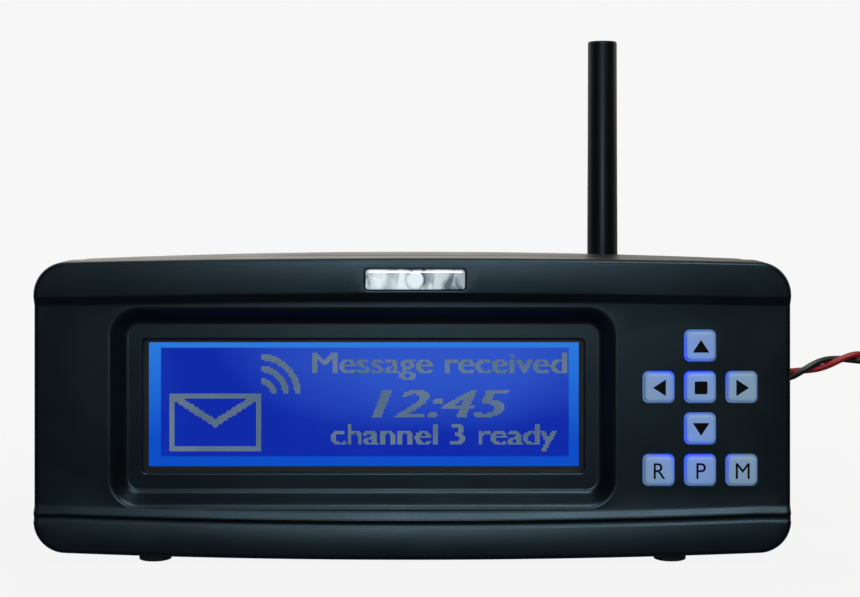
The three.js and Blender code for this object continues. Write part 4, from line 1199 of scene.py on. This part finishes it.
GLASS_FRONT = (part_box("display_glass")[0].y - FRONT_Y) / MM
DOT_WIDTH, DOT_THICKNESS = 0.49, 0.05
left = DISPLAY_X + ACTIVE_SHIFT[0] - COLUMNS / 2 * DOT_PITCH
top = DISPLAY_Z + ACTIVE_SHIFT[1] + ROWS / 2 * DOT_PITCH
dot_places = [place(left + (c + 0.5) * DOT_PITCH, GLASS_FRONT - 0.04, top - (r + 0.5) * DOT_PITCH)
              for c, r in sorted(lit)]
dots = grown(seed_mesh("dot_places", dot_places), dots_tree(), "display_dots",
             **{"Dot Width": DOT_WIDTH * MM, "Dot Thickness": DOT_THICKNESS * MM,
                "Finish": finishes["display_dot"][0]})
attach(dots, "root")
print("display dots:", len(dots.data.polygons), "faces")

# %% [markdown]
# The clear window is flat acrylic. It lets almost everything through and mirrors a
# little, more at a shallow angle, so it is a mix of a see-through and a glossy shader. A
# Fresnel node would mirror everything from inside the plate at a slant, because nothing
# bends here, so the share is worked out from the facing angle; fine dust gives the glossy
# part a slight, uneven haze.

# %% Window finish
def window_finish():
    mat = bpy.data.materials.new("clear_acrylic")
    mat.use_nodes = True
    tree = mat.node_tree
    tree.nodes.clear()
    where = object_place(tree)
    haze = add(tree, "ShaderNodeTexNoise", Vector=where, Scale=90.0, Detail=3.0)
    through = add(tree, "ShaderNodeBsdfTransparent", Color=grey(0.97))
    gloss = add(tree, "ShaderNodeBsdfGlossy", Color=grey(1.0),
                Roughness=remap(tree, haze.outputs[0], 0.3, 0.7, 0.03, 0.09))
    facing = add(tree, "ShaderNodeLayerWeight", Blend=0.5).outputs["Facing"]
    mirrored = maths(tree, "ADD", 0.022, maths(tree, "MULTIPLY", maths(tree, "POWER", facing, 5.0), 0.9))
    both = add(tree, "ShaderNodeMixShader", i0=mirrored, i1=through.outputs[0],
               i2=gloss.outputs[0])
    output = add(tree, "ShaderNodeOutputMaterial")
    tree.links.new(both.outputs[0], output.inputs["Surface"])
    finishes["clear_acrylic"] = (mat, "clear_window")


window_finish()
print("window finish ready")

# %% [markdown]
# ## Keys
# Each key is one moulded silicone cap: a soft-edged, slightly tapered block whose flange
# sits behind the bezel and whose stem presses a switch. The silicone is milky, and two
# blue lamps on the keypad board shine through it: the nearer a surface is to a lamp, the
# bluer it glows, and the sides glow more than the faces.

# %% Key silicone
LAMPS = [(KEY_X - 3.6, KEY_Z + 6.9), (KEY_X - 3.2, KEY_Z - 18.6)]


def key_finish():
    mat, tree, shader = new_finish("key_silicone", "key_plastic")
    where = object_place(tree)
    fine = add(tree, "ShaderNodeTexNoise", Vector=where, Scale=2600.0, Detail=2.0)
    slow = add(tree, "ShaderNodeTexNoise", Vector=where, Scale=160.0, Detail=2.0)
    outward = add(tree, "ShaderNodeNewGeometry").outputs["Normal"]
    near = lit_side = None
    for x, z in LAMPS:
        lamp = place(x, 3.0, z)
        to_lamp = add(tree, "ShaderNodeVectorMath", OPERATION="SUBTRACT", i0=tuple(lamp), i1=where)
        gap_to = add(tree, "ShaderNodeVectorMath", OPERATION="LENGTH", i0=to_lamp.outputs[0])
        heading = add(tree, "ShaderNodeVectorMath", OPERATION="NORMALIZE", i0=to_lamp.outputs[0])
        towards = add(tree, "ShaderNodeVectorMath", OPERATION="DOT_PRODUCT",
                      i0=heading.outputs[0], i1=outward)
        share = remap(tree, gap_to.outputs["Value"], 0.005, 0.018, 1.0, 0.0)
        facing = maths(tree, "MULTIPLY", share, remap(tree, towards.outputs["Value"], -0.55, 0.2))
        near = share if near is None else maths(tree, "MAXIMUM", near, share)
        lit_side = facing if lit_side is None else maths(tree, "MAXIMUM", lit_side, facing)
    split = add(tree, "ShaderNodeSeparateXYZ", i0=outward)
    side = remap(tree, maths(tree, "ABSOLUTE", split.outputs["Y"]), 0.85, 0.3)
    deep = maths(tree, "MULTIPLY", lit_side, side)
    base = mix_colour(tree, slow.outputs[0], (0.24, 0.33, 0.38, 1), (0.30, 0.40, 0.46, 1))
    tree.links.new(base, shader.inputs["Base Color"])
    face_glow = mix_colour(tree, near, (0.07, 0.13, 0.225, 1), (0.045, 0.12, 0.45, 1))
    glow = mix_colour(tree, deep, face_glow, (0.01, 0.05, 0.95, 1))
    tree.links.new(glow, shader.inputs["Emission Color"])
    shader.inputs["Emission Strength"].default_value = 1.0
    relief = add(tree, "ShaderNodeBump", Strength=0.15, Distance=0.05 * MM, Height=fine.outputs[0])
    tree.links.new(relief.outputs[0], shader.inputs["Normal"])
    shader.inputs["Roughness"].default_value = 0.5


key_finish()
ink_shader = moulded("legend_ink", "key_plastic", grey(0.002), grey(0.004), (0.4, 0.5), 0.2, 0.05, 2)[2]
ink_shader.inputs["Specular IOR Level"].default_value = 0.1
print("key finishes ready")

# %% Key caps
KEY_FRONT = -0.6
KEY_TAPER = 0.28
SOFT_EDGE = ((3.4, 0.0), (1.6, 0.01), (0.95, 0.03), (0.62, 0.08), (0.4, 0.17), (0.22, 0.31),
             (0.1, 0.48), (0.03, 0.68), (0.0, 0.9))


def key_cap(x, z):
    """Loops from the middle of the face, over the soft edge, down to flange and stem."""
    half = KEY_SIZE / 2
    steps = []
    for inset, y in SOFT_EDGE:
        steps.append((half - KEY_TAPER - inset, max(KEY_CORNER - inset, 0.35), KEY_FRONT + y))
    steps += [(half - 0.05, KEY_CORNER, 3.0), (half, KEY_CORNER, 3.8), (half + 0.1, KEY_CORNER, 4.1),
              (half + 1.0, 1.0, 4.1), (half + 1.1, 1.0, 4.2), (half + 1.1, 1.0, 5.2),
              (half + 1.0, 1.0, 5.3), (1.6, 0.4, 5.3), (1.5, 0.4, 5.4), (1.5, 0.4, 6.2),
              (1.4, 0.4, 6.3)]
    return loft([[place(px, y, pz) for px, pz in rounded_loop(x, z, (size, size), corner, 7, 1)]
                 for size, corner, y in steps])


for name in KEYS:
    points, faces = key_cap(*key_centre(name))
    cap = mesh_piece("cap_" + name, points, faces, "key_silicone", 60)
    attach(cap, "key_" + name)
    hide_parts("key_" + name)
print(len(KEYS), "caps")

# %% [markdown]
# The legends are printed, so each is a film a few hundredths of a millimetre thick on
# its cap: arrows and a square from plain corner points, and single letters from
# Blender's own font, turned to face forward.

# %% Legends
INK = 0.03
ARROW_WIDTH, ARROW_HEIGHT, STOP_SIDE, STOP_CORNER = 5.1, 3.9, 3.9, 0.45
LETTER_HEIGHT, LETTER_NARROWING = 4.8, 0.95
SUNK = 0.005


def turned_shape(shape, quarter):
    angle = math.radians(90 * quarter)
    return [(u * math.cos(angle) - v * math.sin(angle), u * math.sin(angle) + v * math.cos(angle))
            for u, v in shape]


def film(name, shape):
    """A thin plate of the given outline on the face of a cap."""
    x, z = key_centre(name)
    return loft([[place(x + u, y, z + v) for u, v in shape]
                 for y in (KEY_FRONT - INK, KEY_FRONT + SUNK)])


def letter_film(name, letter):
    form = bmesh.new()
    form.from_mesh(lettering(letter))
    bmesh.ops.remove_doubles(form, verts=form.verts, dist=1e-5)
    low = [min(v.co[i] for v in form.verts) for i in (0, 1)]
    high = [max(v.co[i] for v in form.verts) for i in (0, 1)]
    scale = LETTER_HEIGHT / (high[1] - low[1])
    x, z = key_centre(name)
    raised = bmesh.ops.extrude_face_region(form, geom=list(form.faces))["geom"]
    for v in raised:
        if isinstance(v, bmesh.types.BMVert):
            v.co.z += 1.0
    points = []
    for v in form.verts:
        u = (v.co.x - (low[0] + high[0]) / 2) * scale * LETTER_NARROWING
        w = (v.co.y - (low[1] + high[1]) / 2) * scale
        y = KEY_FRONT - INK if v.co.z > 0.5 else KEY_FRONT + SUNK
        points.append(place(x + u, y, z + w))
    form.verts.index_update()
    faces = [tuple(v.index for v in f.verts) for f in form.faces]
    form.free()
    return points, faces


arrow = [(-ARROW_WIDTH / 2, -ARROW_HEIGHT / 2), (ARROW_WIDTH / 2, -ARROW_HEIGHT / 2), (0, ARROW_HEIGHT / 2)]
stop = rounded_loop(0, 0, (STOP_SIDE / 2, STOP_SIDE / 2), STOP_CORNER, 4)
shapes = {"up": turned_shape(arrow, 0), "left": turned_shape(arrow, 1), "down": turned_shape(arrow, 2),
          "right": turned_shape(arrow, 3), "centre": stop}
for name in KEYS:
    made = film(name, shapes[name]) if name in shapes else letter_film(name, name.upper())
    mark = mesh_piece("legend_" + name, *made, "legend_ink", 30)
    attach(mark, "key_" + name)
print("legends printed")

# %% [markdown]
# ## Indicator
# The strip above the display is a glossy clear-silver lens over a lamp. Its plate is mottled like brushed
# foil, and the lamp's round seat shows through in the middle, so the finish mixes a soft noise with a ring
# measured from the lens centre. The plate is darker towards the right, and the same tone is painted into
# its emission as a painted glow.

# %% Indicator finish
def lens_finish():
    mat, tree, shader = new_finish("silver_lens", "diffuser")
    centre = place(INDICATOR[0], 0, INDICATOR[1])
    centred = add(tree, "ShaderNodeMapping", Vector=object_place(tree))
    centred.inputs["Location"].default_value = (-centre.x / MM, 0, -centre.z / MM)
    centred.inputs["Scale"].default_value = (1 / MM, 0, 1 / MM)
    spot = centred.outputs[0]
    reach = add(tree, "ShaderNodeVectorMath", OPERATION="LENGTH", i0=spot).outputs["Value"]
    ring = remap(tree, maths(tree, "ABSOLUTE", maths(tree, "SUBTRACT", reach, 3.0)), 0.0, 0.55, 1.0, 0.0)
    disc = remap(tree, reach, 2.2, 2.7, 1.0, 0.0)
    stretched = add(tree, "ShaderNodeMapping", Vector=spot)
    stretched.inputs["Scale"].default_value = (0.22, 1, 0.10)
    blots = add(tree, "ShaderNodeTexNoise", Vector=stretched.outputs[0], Scale=1.0, Detail=3.0,
                Distortion=0.6)
    tone = remap(tree, blots.outputs[0], 0.34, 0.58)
    # The plate is darker towards the right.
    rightwards = add(tree, "ShaderNodeSeparateXYZ", i0=spot).outputs["X"]
    darker_rightwards = remap(tree, rightwards, 2.0, 14.0, 0.0, 0.6)
    tone = maths(tree, "SUBTRACT", tone, darker_rightwards)
    tone = maths(tree, "SUBTRACT", tone, maths(tree, "MULTIPLY", ring, 0.4))
    tone = maths(tree, "MAXIMUM", tone, disc)
    tone = add(tree, "ShaderNodeClamp", Value=tone).outputs[0]
    colour = mix_colour(tree, tone, (0.16, 0.22, 0.27, 1), (0.78, 0.88, 0.93, 1))
    tree.links.new(colour, shader.inputs["Base Color"])
    # Painted glow: the emission follows the plate's own tone, mottle and darker right side included.
    glow = mix_colour(tree, tone, (0.02, 0.03, 0.04, 1), (0.40, 0.46, 0.48, 1))
    tree.links.new(glow, shader.inputs["Emission Color"])
    shader.inputs["Emission Strength"].default_value = 1.0
    relief = add(tree, "ShaderNodeBump", Strength=0.3, Distance=0.1 * MM, Height=tone)
    tree.links.new(relief.outputs[0], shader.inputs["Normal"])
    shader.inputs["Roughness"].default_value = 0.15
    shader.inputs["Coat Weight"].default_value = 0.6


lens_finish()

# %% The indicator lens
def indicator_lens():
    x, z, width, height, corner = INDICATOR
    front = (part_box("indicator_lens")[0].y - FRONT_Y) / MM
    back = (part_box("indicator_lens")[1].y - FRONT_Y) / MM
    steps = [(1.2, 0.0), (0.5, 0.0), (0.26, 0.05), (0.08, 0.16), (0.0, 0.35), (0.0, back - front)]
    loops = []
    for inset, y in steps:
        half = (width / 2 - inset, height / 2 - inset)
        loops.append([place(px, front + y, pz)
                      for px, pz in rounded_loop(x, z, half, max(corner - inset, 0.2), 6, 1)])
    return loft(loops)


points, faces = indicator_lens()
lens = mesh_piece("indicator_window", points, faces, "silver_lens", 50)
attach(lens, "root")
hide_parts("indicator_lens")
print("indicator in place")

# %% [markdown]
# ## The parts inside
# Boards, switches, the display's frame and the small components keep their CAD shapes,
# which are right as they are, and only take their finishes.

# %% Finishes for the CAD parts that stay
FINISH_OF = {
    "display_window": "clear_acrylic", "display_frame": "frame_steel",
    "display_glass": "display_blue", "display_backlight": "lamp_diffuser",
    "display_board": "board_lacquer", "display_ribbon": "flex_ribbon",
    "indicator_led": "lamp_diffuser", "keypad_board": "board_lacquer",
    "key_light_upper": "lamp_diffuser", "key_light_lower": "lamp_diffuser",
    "main_board": "board_lacquer", "receiver_can": "tin_plate", "processor": "epoxy_black",
    "voltage_regulator": "epoxy_black", "buzzer": "epoxy_black",
    "antenna_coax": "grommet_rubber", "antenna_radiator": "copper_wire",
}
for name in KEYS:
    FINISH_OF["switch_" + name] = "epoxy_black"
for number in (1, 2, 3, 4):
    FINISH_OF[f"board_screw_{number}"] = "screw_steel"
for node, finish in FINISH_OF.items():
    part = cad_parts[node]
    part.data.materials.clear()
    part.data.materials.append(finishes[finish][0])
print(len(FINISH_OF), "CAD parts finished")

# %% [markdown]
# ## The supply lead
# The supply lead has its plug, tie and grommet in place.

# %% [markdown]
# ## Studio
# A pale desk and a pale background, a small soft box in front of the display and a wider
# one above it. A bright wall behind lights the case's top at its shallow angle. The desk
# glows by itself and takes only a little shadow, so it has the same tone everywhere.

# %% Floor
PALE = 0.93
FLOOR_BOUNCE = 0.06
SHADOW_SHARE = 0.04
FLOOR_REACH = 6.0


def floor_finish():
    mat = bpy.data.materials.new("desk_pale")
    mat.use_nodes = True
    tree = mat.node_tree
    tree.nodes.clear()
    glow = add(tree, "ShaderNodeEmission", Color=grey(1.0), Strength=PALE)
    paint = add(tree, "ShaderNodeBsdfDiffuse", Color=grey(0.8))
    far = add(tree, "ShaderNodeVectorMath", OPERATION="LENGTH", i0=object_place(tree))
    keep = remap(tree, far.outputs["Value"], 0.15, 0.4, SHADOW_SHARE, 0.0)
    seen = add(tree, "ShaderNodeMixShader", i0=keep, i1=glow.outputs[0], i2=paint.outputs[0])
    soft_glow = add(tree, "ShaderNodeEmission", Color=grey(1.0), Strength=FLOOR_BOUNCE)
    ray = add(tree, "ShaderNodeLightPath")
    both = add(tree, "ShaderNodeMixShader", i0=ray.outputs["Is Camera Ray"],
               i1=soft_glow.outputs[0], i2=seen.outputs[0])
    output = add(tree, "ShaderNodeOutputMaterial")
    tree.links.new(both.outputs[0], output.inputs["Surface"])
    return mat


floor_mesh = bpy.data.meshes.new("floor")
floor_mesh.from_pydata(
    [(-FLOOR_REACH, -FLOOR_REACH, 0), (FLOOR_REACH, -FLOOR_REACH, 0),
     (FLOOR_REACH, FLOOR_REACH, 0), (-FLOOR_REACH, FLOOR_REACH, 0)], [], [(0, 1, 2, 3)])
floor_mesh.materials.append(floor_finish())
floor = bpy.data.objects.new("floor", floor_mesh)
bpy.context.scene.collection.objects.link(floor)
print("floor", 2 * FLOOR_REACH, "m wide")

# %% Background
DIM_SIDE, BRIGHT_SIDE = 0.02, 1.0
WARM = (1.08, 0.99, 0.9, 1)


def background():
    """The same pale tone as the floor to the eye. As a light it is bright behind the
    pager and dim on the camera's side, so the front keeps its deep black."""
    world = bpy.data.worlds.new("studio")
    bpy.context.scene.world = world
    world.use_nodes = True
    tree = world.node_tree
    tree.nodes.clear()
    ray = add(tree, "ShaderNodeLightPath")
    heading = add(tree, "ShaderNodeTexCoord").outputs["Generated"]
    split = add(tree, "ShaderNodeSeparateXYZ", i0=heading)
    lit = remap(tree, split.outputs["Y"], 0.0, 0.35, DIM_SIDE, BRIGHT_SIDE)
    darker = remap(tree, split.outputs["X"], 0.03, 0.15, 1.0, 0.45)
    darker = maths(tree, "MAXIMUM", darker, remap(tree, split.outputs["X"], 0.25, 0.45))
    lit = maths(tree, "MULTIPLY", lit, darker)
    seen = add(tree, "ShaderNodeMix", i0=ray.outputs["Is Camera Ray"], i2=lit, i3=PALE)
    warm = mix_colour(tree, ray.outputs["Is Camera Ray"], WARM, grey(1.0))
    sky = add(tree, "ShaderNodeBackground", Color=warm, Strength=seen.outputs[0])
    output = add(tree, "ShaderNodeOutputWorld")
    tree.links.new(sky.outputs[0], output.inputs["Surface"])


background()

# %% Lights
def soft_box(name, where, aim, size, watts):
    data = bpy.data.lights.new(name, "AREA")
    data.shape = "RECTANGLE"
    data.size, data.size_y = size
    data.energy = watts
    light = bpy.data.objects.new(name, data)
    light.location = where
    light.rotation_euler = (Vector(aim) - Vector(where)).to_track_quat("-Z", "Y").to_euler()
    bpy.context.scene.collection.objects.link(light)


soft_box("soft_box_front", (0.005, -0.60, 0.17), (0.005, 0, 0.09), (0.10, 0.08), 0.7)
soft_box("soft_box_above", (0.08, -0.34, 0.52), (0, 0, 0.06), (0.34, 0.14), 1.3)
print("studio ready")

# %% Update the view layer
bpy.context.view_layer.update()
